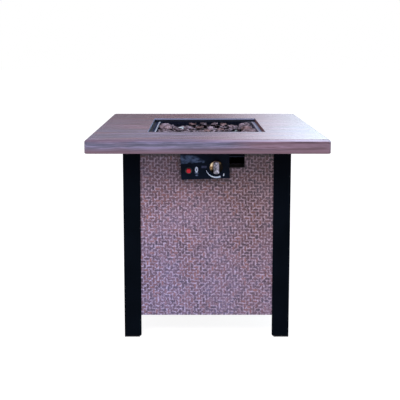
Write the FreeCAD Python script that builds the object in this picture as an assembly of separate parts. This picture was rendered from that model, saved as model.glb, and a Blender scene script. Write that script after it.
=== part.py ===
import FreeCAD, Part
import math
import os
import random

from FreeCAD import Vector

# Square gas fire table: a cast mantel with a burner pan in its cut-out, carried by four angle legs.
# Sheet panels close three sides of the base and a hinged door the fourth, so that a gas cylinder can
# stand inside. A control box with a push-and-turn valve and a push-button igniter hangs at the front.
#
# Millimetres. The origin is on the ground under the middle of the table.
# +X is to the right of someone facing the controls, +Y is to the back and +Z is up.

# ---- Driving sizes ----

# Table and cast mantel
TABLE_HEIGHT = 635.0
MANTEL_SIDE = 711.0
MANTEL_THICK = 41.0
MANTEL_TOP_ROUND = 9.0        # rounding of the upper rim
MANTEL_LOW_ROUND = 3.0        # rounding of the lower rim
MANTEL_CORNER_ROUND = 10.0    # rounding of the four corners, seen from above
MANTEL_BORDER = 171.5         # from the mantel's edges to the square cut-out for the burner pan
LEDGE_DROP = 12.0             # from the mantel's face down to the ledge that carries the pan
RIM_WIDTH = 30.0              # solid rim round the hollows in the mantel's underside
HOLLOW_DEPTH = 20.0
HOLLOW_RIB = 16.0             # rib left between two hollows
BEARING_MARGIN = 8.0          # solid strip of the mantel beyond the base

# Base
OVERHANG = 100.5              # of the mantel beyond the outer faces of the legs
LEG_WIDTH = 52.5
LEG_WALL = 2.0
LEG_FOOT_ROUND = 6.0          # rounded lower corner of each leg flange
GLIDE_HEIGHT = 3.0
GLIDE_GRIP = 12.0             # height of the glide's lip inside the leg
GLIDE_WALL = 3.0
PANEL_WALL = 2.0              # embossed sheet, over its pattern
PANEL_LAP = 38.0              # how far a panel reaches behind a leg
PANEL_GAP_BELOW = 70.0        # from the ground to the panels
RAIL_WIDTH = 25.0
RAIL_WALL = 2.0

# Access door
DOOR_SIDE_GAP = 3.0
DOOR_END_GAP = 3.0
DOOR_DEPTH = 15.0
DOOR_WALL = 2.0
HINGE_INSET = 9.0             # from the door's edge to the hinge pins
HINGE_PIN_R = 3.0
HINGE_FIT = 0.05
HINGE_HEAD_R = 5.5
HINGE_HEAD = 3.0
HINGE_REACH = 8.0             # length of pin inside the door
BODY_GAP = 0.3                # air between surfaces that move past each other
MAGNET_WIDTH = 34.0
MAGNET_DEPTH = 14.0
MAGNET_HEIGHT = 24.0
MAGNET_INSET = 20.0           # from the door's free edge to the middle of the magnet
STRIKE_WALL = 1.5
PULL_R = 14.0
PULL_NECK_R = 7.0
PULL_NECK = 10.0
PULL_BEVEL = 3.0
PULL_REACH = 22.0
PULL_INSET = 34.0

# Burner pan
PAN_CLEARANCE = 4.0           # from the cut-out to the pan's flange, when the pan is in the middle
PAN_PLAY = 0.5                # what is left of it on the right, where the pan has slid to
PAN_FLANGE = 12.0
PAN_WALL = 1.0
PAN_DEPTH = 70.0
PAN_CORNER_ROUND = 12.0

# Ring burner and its gas train
RING_R = 100.0
RING_TUBE_R = 9.5
RING_BELOW_TOP = 23.0         # from the mantel's face down to the ring's centre line
CROSSBAR_R = 7.5
HUB_R = 16.0
RISER_R = 10.5
COLLAR_R = 19.0
COLLAR_THICK = 4.0
LOCKNUT_R = 17.0
LOCKNUT_THICK = 6.0
RISER_BELOW_PAN = 20.0
MIXER_R = 14.0
MIXER_LENGTH = 48.0
MIXER_FLOOR = 4.0
MIXER_WINDOW = 16.0
ORIFICE_R = 5.0
ORIFICE_HEX = 15.0
TUBE_R = 4.75
TUBE_BEND = 18.0

# Flame sensing and ignition at the burner
PILOT_X = -22.0
PILOT_Y = 66.0
PILOT_WIDTH = 34.0
PILOT_WALL = 1.5
PILOT_TAB = 20.0
PILOT_TAB_BELOW_TOP = 37.0
PROBE_SPREAD = 9.0
ELECTRODE_R = 3.5
ELECTRODE_TIP_R = 1.2
ELECTRODE_RISE = 20.0
ELECTRODE_TIP = 8.0
THERMO_R = 2.6
THERMO_RISE = 24.0
PROBE_DROP = 14.0

# Lava rock
ROCK_GAP = 0.6
ROCK_CORNERS = 16
ROCK_REACH = 31.0             # from the middle of a stone to its corners
CHIP_REACH = 22.0
ROCK_REACH_LEAST = 0.86       # shares of the reach that a corner may have
ROCK_REACH_MOST = 1.1
ROCK_CHIPPING = 0.95          # least share of its distance that a corner keeps
BED_STONES = 5                # each way on the pan's floor
RIM_STONES = 6                # along each side of the pan
RIM_STRAY = 5.0
BACK_SLUMP = 14.0             # how much lower the stones lie along the back
CORE_STONES = 8               # inside the ring
CORE_R = 55.0
CROWN_STRAY = 8.0             # how much lower one stone's top may be than the next
CHIPS = 13                    # on the ring
CHIP_START = -155.0           # degrees
CHIP_STEP = 22.5
BAR_STONES = 4                # on the crossbar
BAR_PITCH = 40.0
PILOT_ROOM = 12.0             # free space round the pilot bracket
NEIGHBOUR = 120.0             # stones further apart don't limit each other
ROCK_HEADROOM = 4.0           # the highest rock stays this far below the mantel's face
SETTLING = 8.0                # about how far an upper stone sinks when it settles
SETTLED = 0.05                # a stone closer than this to the next one rests on it
SETTLE_STEPS = 6

# Heat shield
SHIELD_CLEARANCE = 15.0       # from the pan to the shield's sides
SHIELD_TO_TUBE = 23.5         # from the feed tube's bend behind the valve to the shield's front edge
SHIELD_DROP = 67.0
SHIELD_LIP = 12.0
SHIELD_WALL = 1.0
SHIELD_HOLE_R = 24.0

# Control box
BOX_WIDTH = 147.0
BOX_HEIGHT = 88.0
BOX_DEPTH = 14.0
BOX_WALL = 1.5
BOX_TILT = 2.0                # degrees, right side up
BOX_X = -5.8
BOX_BELOW_MANTEL = 3.5
HANGER_WIDTH = 100.0
HANGER_DROP = 20.0
WINDOW_LEFT = -72.0           # cut-out in the front panel behind the control box
WINDOW_RIGHT = 62.0
WINDOW_DROP = 82.0
SLOT_RIGHT = 114.4            # shallower part of the cut-out, seen beside the box
SLOT_DROP = 59.5

# Valve and knob
KNOB_DX = 33.1                # from the middle of the control box
KNOB_DZ = -7.7
KNOB_R = 19.5
KNOB_THICK = 6.0
KNOB_OFF_FACE = 4.0
GRIP_WIDTH = 16.0
GRIP_HEIGHT = 12.0
STEM_R = 4.0
STEM_FIT = 0.05
PUSH_TRAVEL = 3.0
CUP_R = 8.6
CUP_THICK = 2.0
CAVITY_R = 9.0
CAVITY_DEPTH = 14.0
NOSE_R = 12.5
NOSE_LENGTH = 8.0
VALVE_R = 17.0
VALVE_TAIL = 12.0             # from the inlet's axis to the rear end of the barrel
OUTLET_R = 7.0
OUTLET_LENGTH = 10.0
INLET_SEAT = 2.0              # height of the boss that the inlet fitting screws into
INLET_HEX_R = 10.0
INLET_HEX = 8.0
INLET_R = 7.94                # 5/8 inch flare thread
INLET_LENGTH = 17.0
INLET_ROOM = 12.5             # from the rails' inner edge to the inlet's axis, for the hose's nut

# Igniter
BUTTON_DX = -50.2
BUTTON_DZ = -15.8
BUTTON_R = 6.75
BUTTON_FIT = 0.05
BUTTON_TRAVEL = 5.0
BUTTON_PROUD = 9.0
BEZEL_R = 10.5
BEZEL_THICK = 3.0
BARREL_R = 9.0
BARREL_LENGTH = 60.0
BARREL_FLANGE_R = 11.0
BARREL_FLANGE = 2.0
BATTERY_R = 5.25
BATTERY_LENGTH = 44.5

# Fasteners
NUT_R = 5.8
NUT_THICK = 5.0
SCREW_R = 2.5
SCREW_HEAD_R = 5.0
SCREW_HEAD = 3.0
SCREW_LENGTH = 16.0

# How close to a place an edge must be to be picked for rounding
PICK = 0.1

# ---- Places that follow from the sizes ----

MANTEL_BOTTOM = TABLE_HEIGHT - MANTEL_THICK
LEDGE_Z = TABLE_HEIGHT - LEDGE_DROP
LEDGE_WIDTH = PAN_FLANGE - PAN_WALL          # leaves the same play round the pan's body
CUTOUT_SIDE = MANTEL_SIDE - 2 * MANTEL_BORDER
BASE_HALF = MANTEL_SIDE / 2 - OVERHANG
INNER_HALF = BASE_HALF - LEG_WALL            # inner faces of the legs, outer faces of the panels
PANEL_BACK = INNER_HALF - PANEL_WALL         # inner faces of the panels
PANEL_HALF = BASE_HALF - LEG_WIDTH + PANEL_LAP
RAIL_REACH = PANEL_BACK - RAIL_WIDTH         # inner edges of the rails behind a panel
REAR_REACH = INNER_HALF - RAIL_WIDTH         # inner edges of the rear rails
LOW_RAIL_Z = PANEL_GAP_BELOW + PANEL_WALL
PAN_SHIFT = PAN_CLEARANCE - PAN_PLAY
PAN_FLANGE_SIDE = CUTOUT_SIDE - 2 * PAN_CLEARANCE
PAN_SIDE = PAN_FLANGE_SIDE - 2 * PAN_FLANGE  # inside
SHIELD_WIDTH = PAN_SIDE + 2 * (PAN_WALL + PAN_SHIFT + SHIELD_CLEARANCE)
PAN_FLOOR = LEDGE_Z + PAN_WALL - PAN_DEPTH   # upper face of the pan's floor
PAN_UNDER = PAN_FLOOR - PAN_WALL
RING_Z = TABLE_HEIGHT - RING_BELOW_TOP
DOOR_HALF = BASE_HALF - LEG_WIDTH - DOOR_SIDE_GAP
DOOR_LOW = LOW_RAIL_Z + RAIL_WIDTH + DOOR_END_GAP
DOOR_HIGH = MANTEL_BOTTOM - RAIL_WIDTH - DOOR_END_GAP
HINGE_X = DOOR_HALF - HINGE_INSET
HINGE_Y = INNER_HALF - DOOR_DEPTH / 2
BOX_Z = MANTEL_BOTTOM - BOX_BELOW_MANTEL - BOX_HEIGHT / 2
FACE_Y = -INNER_HALF - BOX_DEPTH             # front of the control box
FACE_BACK = FACE_Y + BOX_WALL
INLET_Y = INLET_ROOM - RAIL_REACH
VALVE_END = INLET_Y + VALVE_TAIL             # rear end of the valve's barrel
TUBE_TURN_Y = VALVE_END + OUTLET_LENGTH + TUBE_BEND
SHIELD_LENGTH = -2 * (TUBE_TURN_Y + SHIELD_TO_TUBE)
MIXER_TOP = PAN_UNDER - LOCKNUT_THICK
MIXER_LOW = MIXER_TOP - MIXER_LENGTH
ORIFICE_TOP = MIXER_LOW + MIXER_FLOOR
ORIFICE_LOW = MIXER_LOW - ORIFICE_HEX
TUBE_Z = MIXER_LOW - ORIFICE_HEX / 2
X = Vector(1, 0, 0)
Y = Vector(0, 1, 0)
Z = Vector(0, 0, 1)


def block(x0, x1, y0, y1, z0, z1):
    """A box between two corners, given in any order along each axis."""
    low = Vector(min(x0, x1), min(y0, y1), min(z0, z1))
    return Part.makeBox(abs(x1 - x0), abs(y1 - y0), abs(z1 - z0), low)


def rod(radius, length, start, axis):
    return Part.makeCylinder(radius, length, start, axis)


def ring(outer, inner, length, start, axis):
    return rod(outer, length, start, axis).cut(rod(inner, length, start, axis))


def hexagon(radius, length, start, axis):
    """A hexagonal bar, measured to its corners."""
    side = axis.cross(X) if axis.cross(X).Length > 0.5 else axis.cross(Z)
    turn = [FreeCAD.Rotation(axis, 60 * corner) for corner in range(7)]
    points = [start + step.multVec(side * radius) for step in turn]
    return Part.Face(Part.makePolygon(points)).extrude(axis * length)


def prism(points, travel):
    """A solid swept from a closed outline of straight sides."""
    return Part.Face(Part.makePolygon(points + points[:1])).extrude(travel)


def revolved(profile, origin, axis, side):
    """A turned solid. The profile lists (distance along the axis, radius)."""
    points = [origin + axis * along + side * radius for along, radius in profile]
    return Part.Face(Part.makePolygon(points + points[:1])).revolve(origin, axis, 360)


def quarter_turns(shape, count=4):
    """Copies of a shape at the other corners of the square base."""
    return [shape.copy().rotate(Vector(), Z, 90 * turn) for turn in range(count)]


def edges_where(shape, test):
    return [edge for edge in shape.Edges if test(edge.BoundBox)]


def tilted(shape):
    """Turns a piece with the control box, which hangs a little crooked."""
    return shape.rotate(Vector(BOX_X, 0, BOX_Z), Y, -BOX_TILT)


def on_face(dx, dz):
    """A point on the crooked control face, from its middle."""
    angle = math.radians(BOX_TILT)
    x = BOX_X + dx * math.cos(angle) - dz * math.sin(angle)
    z = BOX_Z + dx * math.sin(angle) + dz * math.cos(angle)
    return Vector(x, FACE_Y, z)


# ---- Mantel ----

def mantel_hollows():
    """Eight hollows under the overhang, two to a side with a rib between, inside a solid rim."""
    inner = BASE_HALF + BEARING_MARGIN
    outer = MANTEL_SIDE / 2 - RIM_WIDTH
    top = MANTEL_BOTTOM + HOLLOW_DEPTH
    end = inner - HOLLOW_RIB
    right = block(HOLLOW_RIB / 2, end, -outer, -inner, MANTEL_BOTTOM, top)
    left = block(-HOLLOW_RIB / 2, -end, -outer, -inner, MANTEL_BOTTOM, top)
    return quarter_turns(right) + quarter_turns(left)


def mantel_top():
    half = MANTEL_SIDE / 2
    slab = block(-half, half, -half, half, MANTEL_BOTTOM, TABLE_HEIGHT)
    slab = slab.makeFillet(MANTEL_CORNER_ROUND, edges_where(slab, lambda box: box.ZLength > PICK))
    upper = edges_where(slab, lambda box: box.ZMin > TABLE_HEIGHT - PICK)
    slab = slab.makeFillet(MANTEL_TOP_ROUND, upper)
    lower = edges_where(slab, lambda box: box.ZMax < MANTEL_BOTTOM + PICK)
    slab = slab.makeFillet(MANTEL_LOW_ROUND, lower)
    cut = CUTOUT_SIDE / 2
    through = cut - LEDGE_WIDTH
    slab = slab.cut(block(-cut, cut, -cut, cut, LEDGE_Z, TABLE_HEIGHT))
    slab = slab.cut(block(-through, through, -through, through, MANTEL_BOTTOM, LEDGE_Z))
    return slab.cut(mantel_hollows())


# ---- Base ----

def leg():
    """Folded angle at the front left corner. Both flanges have a rounded lower corner."""
    top = MANTEL_BOTTOM
    low = -BASE_HALF
    end = low + LEG_WIDTH
    wall = low + LEG_WALL
    front = block(low, end, low, wall, GLIDE_HEIGHT, top)
    side = block(low, wall, low, end, GLIDE_HEIGHT, top)
    front_corner = edges_where(front, lambda box: box.ZMax < top - PICK and box.XMin > end - PICK)
    side_corner = edges_where(side, lambda box: box.ZMax < top - PICK and box.YMin > end - PICK)
    front = front.makeFillet(LEG_FOOT_ROUND, front_corner)
    side = side.makeFillet(LEG_FOOT_ROUND, side_corner)
    return front.fuse(side).removeSplitter()


def foot_glide():
    """Nylon foot under one leg: a flat L below the steel and a lip that grips inside the fold."""
    low = -BASE_HALF
    end = low + LEG_WIDTH - LEG_FOOT_ROUND
    inside = low + LEG_WALL
    lip = inside + GLIDE_WALL
    sole = block(low, end, low, lip, 0, GLIDE_HEIGHT).fuse(block(low, lip, low, end, 0, GLIDE_HEIGHT))
    grip_top = GLIDE_HEIGHT + GLIDE_GRIP
    grip = block(inside, end, inside, lip, GLIDE_HEIGHT, grip_top)
    grip = grip.fuse(block(inside, lip, inside, end, GLIDE_HEIGHT, grip_top))
    return sole.fuse(grip).removeSplitter()


def panel(return_half):
    """Sheet panel at the front: a flat face with its lower edge turned in under the rail."""
    face = block(-PANEL_HALF, PANEL_HALF, -INNER_HALF, -PANEL_BACK, PANEL_GAP_BELOW, MANTEL_BOTTOM)
    turned = block(-return_half, return_half, -PANEL_BACK, -RAIL_REACH, PANEL_GAP_BELOW, LOW_RAIL_Z)
    return face.fuse(turned).removeSplitter()


def front_panel():
    """The front panel has a stepped cut-out behind the control box."""
    window_low = MANTEL_BOTTOM - WINDOW_DROP
    slot_low = MANTEL_BOTTOM - SLOT_DROP
    outline = [
        Vector(WINDOW_LEFT, -INNER_HALF, MANTEL_BOTTOM),
        Vector(WINDOW_LEFT, -INNER_HALF, window_low),
        Vector(WINDOW_RIGHT, -INNER_HALF, window_low),
        Vector(WINDOW_RIGHT, -INNER_HALF, slot_low),
        Vector(SLOT_RIGHT, -INNER_HALF, slot_low),
        Vector(SLOT_RIGHT, -INNER_HALF, MANTEL_BOTTOM),
    ]
    return panel(PANEL_HALF).cut(prism(outline, Y * PANEL_WALL))


def rail_bar(half_low, half_high, high):
    """Angle rail behind the front panel, with its flat flange at the outer end of its height."""
    if high:
        upright = (MANTEL_BOTTOM - RAIL_WIDTH, MANTEL_BOTTOM)
        flat = (MANTEL_BOTTOM - RAIL_WALL, MANTEL_BOTTOM)
    else:
        upright = (LOW_RAIL_Z, LOW_RAIL_Z + RAIL_WIDTH)
        flat = (LOW_RAIL_Z, LOW_RAIL_Z + RAIL_WALL)
    wall = block(half_low, half_high, -PANEL_BACK, RAIL_WALL - PANEL_BACK, *upright)
    shelf = block(half_low, half_high, -PANEL_BACK, -RAIL_REACH, *flat)
    return wall.fuse(shelf).removeSplitter()


def rear_rail(low, hinge_side):
    """Channel rail at the back, which carries one hinge pin of the door."""
    high = low + RAIL_WIDTH
    outer = block(-PANEL_BACK, PANEL_BACK, REAR_REACH, INNER_HALF, low, high)
    inner_low = low + RAIL_WALL
    inner_high = high - RAIL_WALL
    hollow = block(-PANEL_BACK, PANEL_BACK, REAR_REACH, INNER_HALF - RAIL_WALL, inner_low, inner_high)
    start = Vector(HINGE_X, HINGE_Y, hinge_side)
    return outer.cut(hollow).cut(rod(HINGE_PIN_R, RAIL_WALL, start, Z))


# ---- Access door ----

def access_door():
    """Sheet tray that opens to the back, with holes for the two hinge pins."""
    front = INNER_HALF - DOOR_DEPTH
    tray = block(-DOOR_HALF, DOOR_HALF, front, INNER_HALF, DOOR_LOW, DOOR_HIGH)
    inside = DOOR_HALF - DOOR_WALL
    floor = INNER_HALF - DOOR_WALL
    tray = tray.cut(block(-inside, inside, front, floor, DOOR_LOW + DOOR_WALL, DOOR_HIGH - DOOR_WALL))
    pin_hole = rod(HINGE_PIN_R + HINGE_FIT, DOOR_HIGH - DOOR_LOW, Vector(HINGE_X, HINGE_Y, DOOR_LOW), Z)
    return tray.cut(pin_hole)


def hinge_pin(rail_face, outward):
    """Shouldered pin: head inside the rail, spacer in the gap, tip inside the door."""
    start = Vector(HINGE_X, HINGE_Y, rail_face)
    head = rod(HINGE_HEAD_R, HINGE_HEAD, start + outward * RAIL_WALL, outward)
    spacer = rod(HINGE_HEAD_R, DOOR_END_GAP - BODY_GAP, start, outward * -1)
    shank_start = start + outward * RAIL_WALL
    shank = rod(HINGE_PIN_R, RAIL_WALL + DOOR_END_GAP + HINGE_REACH, shank_start, outward * -1)
    return head.fuse([spacer, shank]).removeSplitter()


def door_strike():
    """Steel angle under the door's upper return, drawn to the magnet."""
    middle = MAGNET_INSET - DOOR_HALF
    left = middle - MAGNET_WIDTH / 2
    right = middle + MAGNET_WIDTH / 2
    face = INNER_HALF - DOOR_DEPTH
    under = DOOR_HIGH - DOOR_WALL
    flat = block(left, right, face, INNER_HALF - DOOR_WALL, under - STRIKE_WALL, under)
    plate = block(left, right, face, face + STRIKE_WALL, under - MAGNET_HEIGHT, under)
    return flat.fuse(plate).removeSplitter()


def door_magnet():
    """Magnet block that hangs under the upper rear rail."""
    middle = MAGNET_INSET - DOOR_HALF
    face = INNER_HALF - DOOR_DEPTH - BODY_GAP
    rail = MANTEL_BOTTOM - RAIL_WIDTH
    left = middle - MAGNET_WIDTH / 2
    right = middle + MAGNET_WIDTH / 2
    return block(left, right, face - MAGNET_DEPTH, face, rail - MAGNET_HEIGHT, rail)


def door_pull():
    """Turned knob near the door's free edge."""
    start = Vector(PULL_INSET - DOOR_HALF, INNER_HALF, (DOOR_LOW + DOOR_HIGH) / 2)
    profile = [
        (0, 0),
        (0, PULL_NECK_R),
        (PULL_NECK, PULL_NECK_R),
        (PULL_NECK + PULL_BEVEL, PULL_R),
        (PULL_REACH - PULL_BEVEL, PULL_R),
        (PULL_REACH, PULL_R - PULL_BEVEL),
        (PULL_REACH, 0),
    ]
    return revolved(profile, start, Y, X)


# ---- Burner ----

def burner_pan():
    """Drawn pan: a flange that lies on the mantel's ledge, round corners and a hole for the riser."""
    half = PAN_SIDE / 2 + PAN_WALL
    body = block(-half, half, -half, half, PAN_UNDER, LEDGE_Z + PAN_WALL)
    body = body.makeFillet(PAN_CORNER_ROUND + PAN_WALL, edges_where(body, lambda box: box.ZLength > PICK))
    flange = PAN_FLANGE_SIDE / 2
    lip = block(-flange, flange, -flange, flange, LEDGE_Z, LEDGE_Z + PAN_WALL)
    inner = PAN_SIDE / 2
    hollow = block(-inner, inner, -inner, inner, PAN_FLOOR, LEDGE_Z + PAN_WALL)
    hollow = hollow.makeFillet(PAN_CORNER_ROUND, edges_where(hollow, lambda box: box.ZLength > PICK))
    pan = body.fuse(lip).cut(hollow)
    pan.translate(X * PAN_SHIFT)
    return pan.cut(rod(RISER_R, PAN_WALL, Vector(0, 0, PAN_UNDER), Z)).removeSplitter()


def ring_burner():
    """Ring of tube, a crossbar that feeds it, and a hub on a threaded riser."""
    centre = Vector(0, 0, RING_Z)
    tube = Part.makeTorus(RING_R, RING_TUBE_R, centre, Z)
    crossbar = rod(CROSSBAR_R, 2 * RING_R, Vector(-RING_R, 0, RING_Z), X)
    hub = rod(HUB_R, 2 * CROSSBAR_R, Vector(0, 0, RING_Z - CROSSBAR_R), Z)
    riser_low = PAN_UNDER - RISER_BELOW_PAN
    riser = rod(RISER_R, RING_Z - riser_low, Vector(0, 0, riser_low), Z)
    collar = rod(COLLAR_R, COLLAR_THICK, Vector(0, 0, PAN_FLOOR), Z)
    return tube.fuse([crossbar, hub, riser, collar]).removeSplitter()


def burner_locknut():
    start = Vector(0, 0, PAN_UNDER - LOCKNUT_THICK)
    return hexagon(LOCKNUT_R, LOCKNUT_THICK, start, Z).cut(rod(RISER_R, LOCKNUT_THICK, start, Z))


def air_mixer():
    """Venturi sleeve screwed on the riser, with two air windows below its thread."""
    riser_low = PAN_UNDER - RISER_BELOW_PAN
    profile = [
        (0, ORIFICE_R),
        (0, MIXER_R),
        (MIXER_LENGTH, MIXER_R),
        (MIXER_LENGTH, RISER_R),
        (MIXER_FLOOR, RISER_R),
        (MIXER_FLOOR, ORIFICE_R),
    ]
    sleeve = revolved(profile, Vector(0, 0, MIXER_LOW), Z, X)
    window_low = (MIXER_LOW + MIXER_FLOOR + riser_low - MIXER_WINDOW) / 2
    window = block(-MIXER_R, MIXER_R, -MIXER_R / 2, MIXER_R / 2, window_low, window_low + MIXER_WINDOW)
    return sleeve.cut(window)


def gas_orifice():
    """Brass elbow that jets gas up into the mixer and takes the feed tube from the front."""
    hexagonal = hexagon(MIXER_R, ORIFICE_HEX, Vector(0, 0, ORIFICE_LOW), Z)
    jet = rod(ORIFICE_R, MIXER_FLOOR + ORIFICE_R, Vector(0, 0, MIXER_LOW), Z)
    socket = rod(TUBE_R, MIXER_R, Vector(0, 0, TUBE_Z), Y * -1)
    return hexagonal.fuse(jet).removeSplitter().cut(socket)


def bent_path(points, radius):
    """Straight runs through the points, joined by tangent arcs."""
    edges = []
    start = points[0]
    for before, corner, after in zip(points, points[1:], points[2:]):
        back = (before - corner).normalize()
        ahead = (after - corner).normalize()
        half_turn = (math.pi - back.getAngle(ahead)) / 2
        reach = radius * math.tan(half_turn)
        arc_start = corner + back * reach
        arc_end = corner + ahead * reach
        bisector = (back + ahead).normalize()
        middle = corner + bisector * (radius / math.cos(half_turn) - radius)
        edges.append(Part.LineSegment(start, arc_start).toShape())
        edges.append(Part.Arc(arc_start, middle, arc_end).toShape())
        start = arc_end
    edges.append(Part.LineSegment(start, points[-1]).toShape())
    return Part.Wire(edges)


def gas_feed_tube():
    """Aluminium tube from the back of the valve, down under the heat shield, to the orifice."""
    knob = on_face(KNOB_DX, KNOB_DZ)
    under_y = TUBE_TURN_Y + knob.z - TUBE_Z
    route = [
        Vector(knob.x, VALVE_END + OUTLET_LENGTH, knob.z),
        Vector(knob.x, TUBE_TURN_Y, knob.z),
        Vector(0, under_y, TUBE_Z),
        Vector(0, -TUBE_R, TUBE_Z),
    ]
    path = bent_path(route, TUBE_BEND)
    profile = Part.Wire(Part.makeCircle(TUBE_R, route[0], Y))
    return path.makePipeShell([profile], True, True)


def pilot_bracket():
    """Bent stainless bracket on the pan's floor, with a tab that holds both probes."""
    left = PILOT_X - PILOT_WIDTH / 2
    back = PILOT_Y + PILOT_TAB / 2
    front = PILOT_Y - PILOT_TAB / 2
    tab_z = TABLE_HEIGHT - PILOT_TAB_BELOW_TOP
    outline = [
        Vector(left, front, PAN_FLOOR),
        Vector(left, back, PAN_FLOOR),
        Vector(left, back, tab_z),
        Vector(left, front, tab_z),
        Vector(left, front, tab_z - PILOT_WALL),
        Vector(left, back - PILOT_WALL, tab_z - PILOT_WALL),
        Vector(left, back - PILOT_WALL, PAN_FLOOR + PILOT_WALL),
        Vector(left, front, PAN_FLOOR + PILOT_WALL),
    ]
    bracket = prism(outline, X * PILOT_WIDTH)
    holes = [
        rod(ELECTRODE_R, PILOT_WALL, Vector(PILOT_X + PROBE_SPREAD, PILOT_Y, tab_z - PILOT_WALL), Z),
        rod(THERMO_R, PILOT_WALL, Vector(PILOT_X - PROBE_SPREAD, PILOT_Y, tab_z - PILOT_WALL), Z),
    ]
    return bracket.cut(holes)


def spark_electrode():
    """Ceramic post with a shoulder that sits on the bracket's tab and a thin steel tip."""
    x = PILOT_X + PROBE_SPREAD
    tab_z = TABLE_HEIGHT - PILOT_TAB_BELOW_TOP
    low = tab_z - PROBE_DROP
    post = rod(ELECTRODE_R, PROBE_DROP + ELECTRODE_RISE, Vector(x, PILOT_Y, low), Z)
    shoulder = rod(ELECTRODE_R * 1.5, ELECTRODE_R, Vector(x, PILOT_Y, tab_z), Z)
    tip = rod(ELECTRODE_TIP_R, ELECTRODE_TIP, Vector(x, PILOT_Y, tab_z + ELECTRODE_RISE), Z)
    return post.fuse([shoulder, tip]).removeSplitter()


def thermocouple():
    """Flame sensor: a rod with a hexagonal shoulder and a domed tip."""
    x = PILOT_X - PROBE_SPREAD
    tab_z = TABLE_HEIGHT - PILOT_TAB_BELOW_TOP
    low = tab_z - PROBE_DROP
    shank = rod(THERMO_R, PROBE_DROP + THERMO_RISE, Vector(x, PILOT_Y, low), Z)
    dome = Part.makeSphere(THERMO_R, Vector(x, PILOT_Y, tab_z + THERMO_RISE))
    shoulder = hexagon(THERMO_R * 2, THERMO_R * 2, Vector(x, PILOT_Y, tab_z), Z)
    return shank.fuse([dome, shoulder]).removeSplitter()


def heat_shield():
    """Folded sheet cradle screwed up under the mantel, round the pan, with a hole for the mixer."""
    half = SHIELD_WIDTH / 2
    low = MANTEL_BOTTOM - SHIELD_DROP
    start = -SHIELD_LENGTH / 2
    outside = [
        (-half - SHIELD_LIP, MANTEL_BOTTOM),
        (-half + SHIELD_WALL, MANTEL_BOTTOM),
        (-half + SHIELD_WALL, low + SHIELD_WALL),
        (half - SHIELD_WALL, low + SHIELD_WALL),
        (half - SHIELD_WALL, MANTEL_BOTTOM),
        (half + SHIELD_LIP, MANTEL_BOTTOM),
        (half + SHIELD_LIP, MANTEL_BOTTOM - SHIELD_WALL),
        (half, MANTEL_BOTTOM - SHIELD_WALL),
        (half, low),
        (-half, low),
        (-half, MANTEL_BOTTOM - SHIELD_WALL),
        (-half - SHIELD_LIP, MANTEL_BOTTOM - SHIELD_WALL),
    ]
    shield = prism([Vector(x, start, z) for x, z in outside], Y * SHIELD_LENGTH)
    return shield.cut(rod(SHIELD_HOLE_R, SHIELD_WALL, Vector(0, 0, low), Z))


# ---- Lava rock ----

def hull_faces(points):
    """Triangles of the convex hull of points in general position, facing outwards."""
    faces = []
    count = len(points)
    for i in range(count):
        for j in range(i + 1, count):
            for k in range(j + 1, count):
                normal = (points[j] - points[i]).cross(points[k] - points[i])
                others = [point for n, point in enumerate(points) if n not in (i, j, k)]
                sides = [normal.dot(point - points[i]) for point in others]
                if all(side < 0 for side in sides) or all(side > 0 for side in sides):
                    faces.append((points[i], points[j], points[k]))
    return faces


def rock(site, planes, reach, chance):
    """One irregular stone inside the planes round its site. A plane is (normal, distance)."""
    twist = FreeCAD.Rotation(Vector(chance.random(), chance.random(), 1), 360 * chance.random())
    points = []
    for number in range(ROCK_CORNERS):
        height = 1 - 2 * (number + 0.5) / ROCK_CORNERS
        angle = number * math.pi * (3 - math.sqrt(5))
        flat = math.sqrt(1 - height * height)
        direction = twist.multVec(Vector(flat * math.cos(angle), flat * math.sin(angle), height))
        far = reach * chance.uniform(ROCK_REACH_LEAST, ROCK_REACH_MOST)
        for normal, distance in planes:
            closing = normal.dot(direction)
            if closing > 0.001:
                far = min(far, (distance - normal.dot(site)) / closing)
        points.append(site + direction * far * chance.uniform(ROCK_CHIPPING, 1.0))
    faces = [Part.Face(Part.makePolygon(list(face) + [face[0]])) for face in hull_faces(points)]
    return Part.Solid(Part.makeShell(faces))


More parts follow.
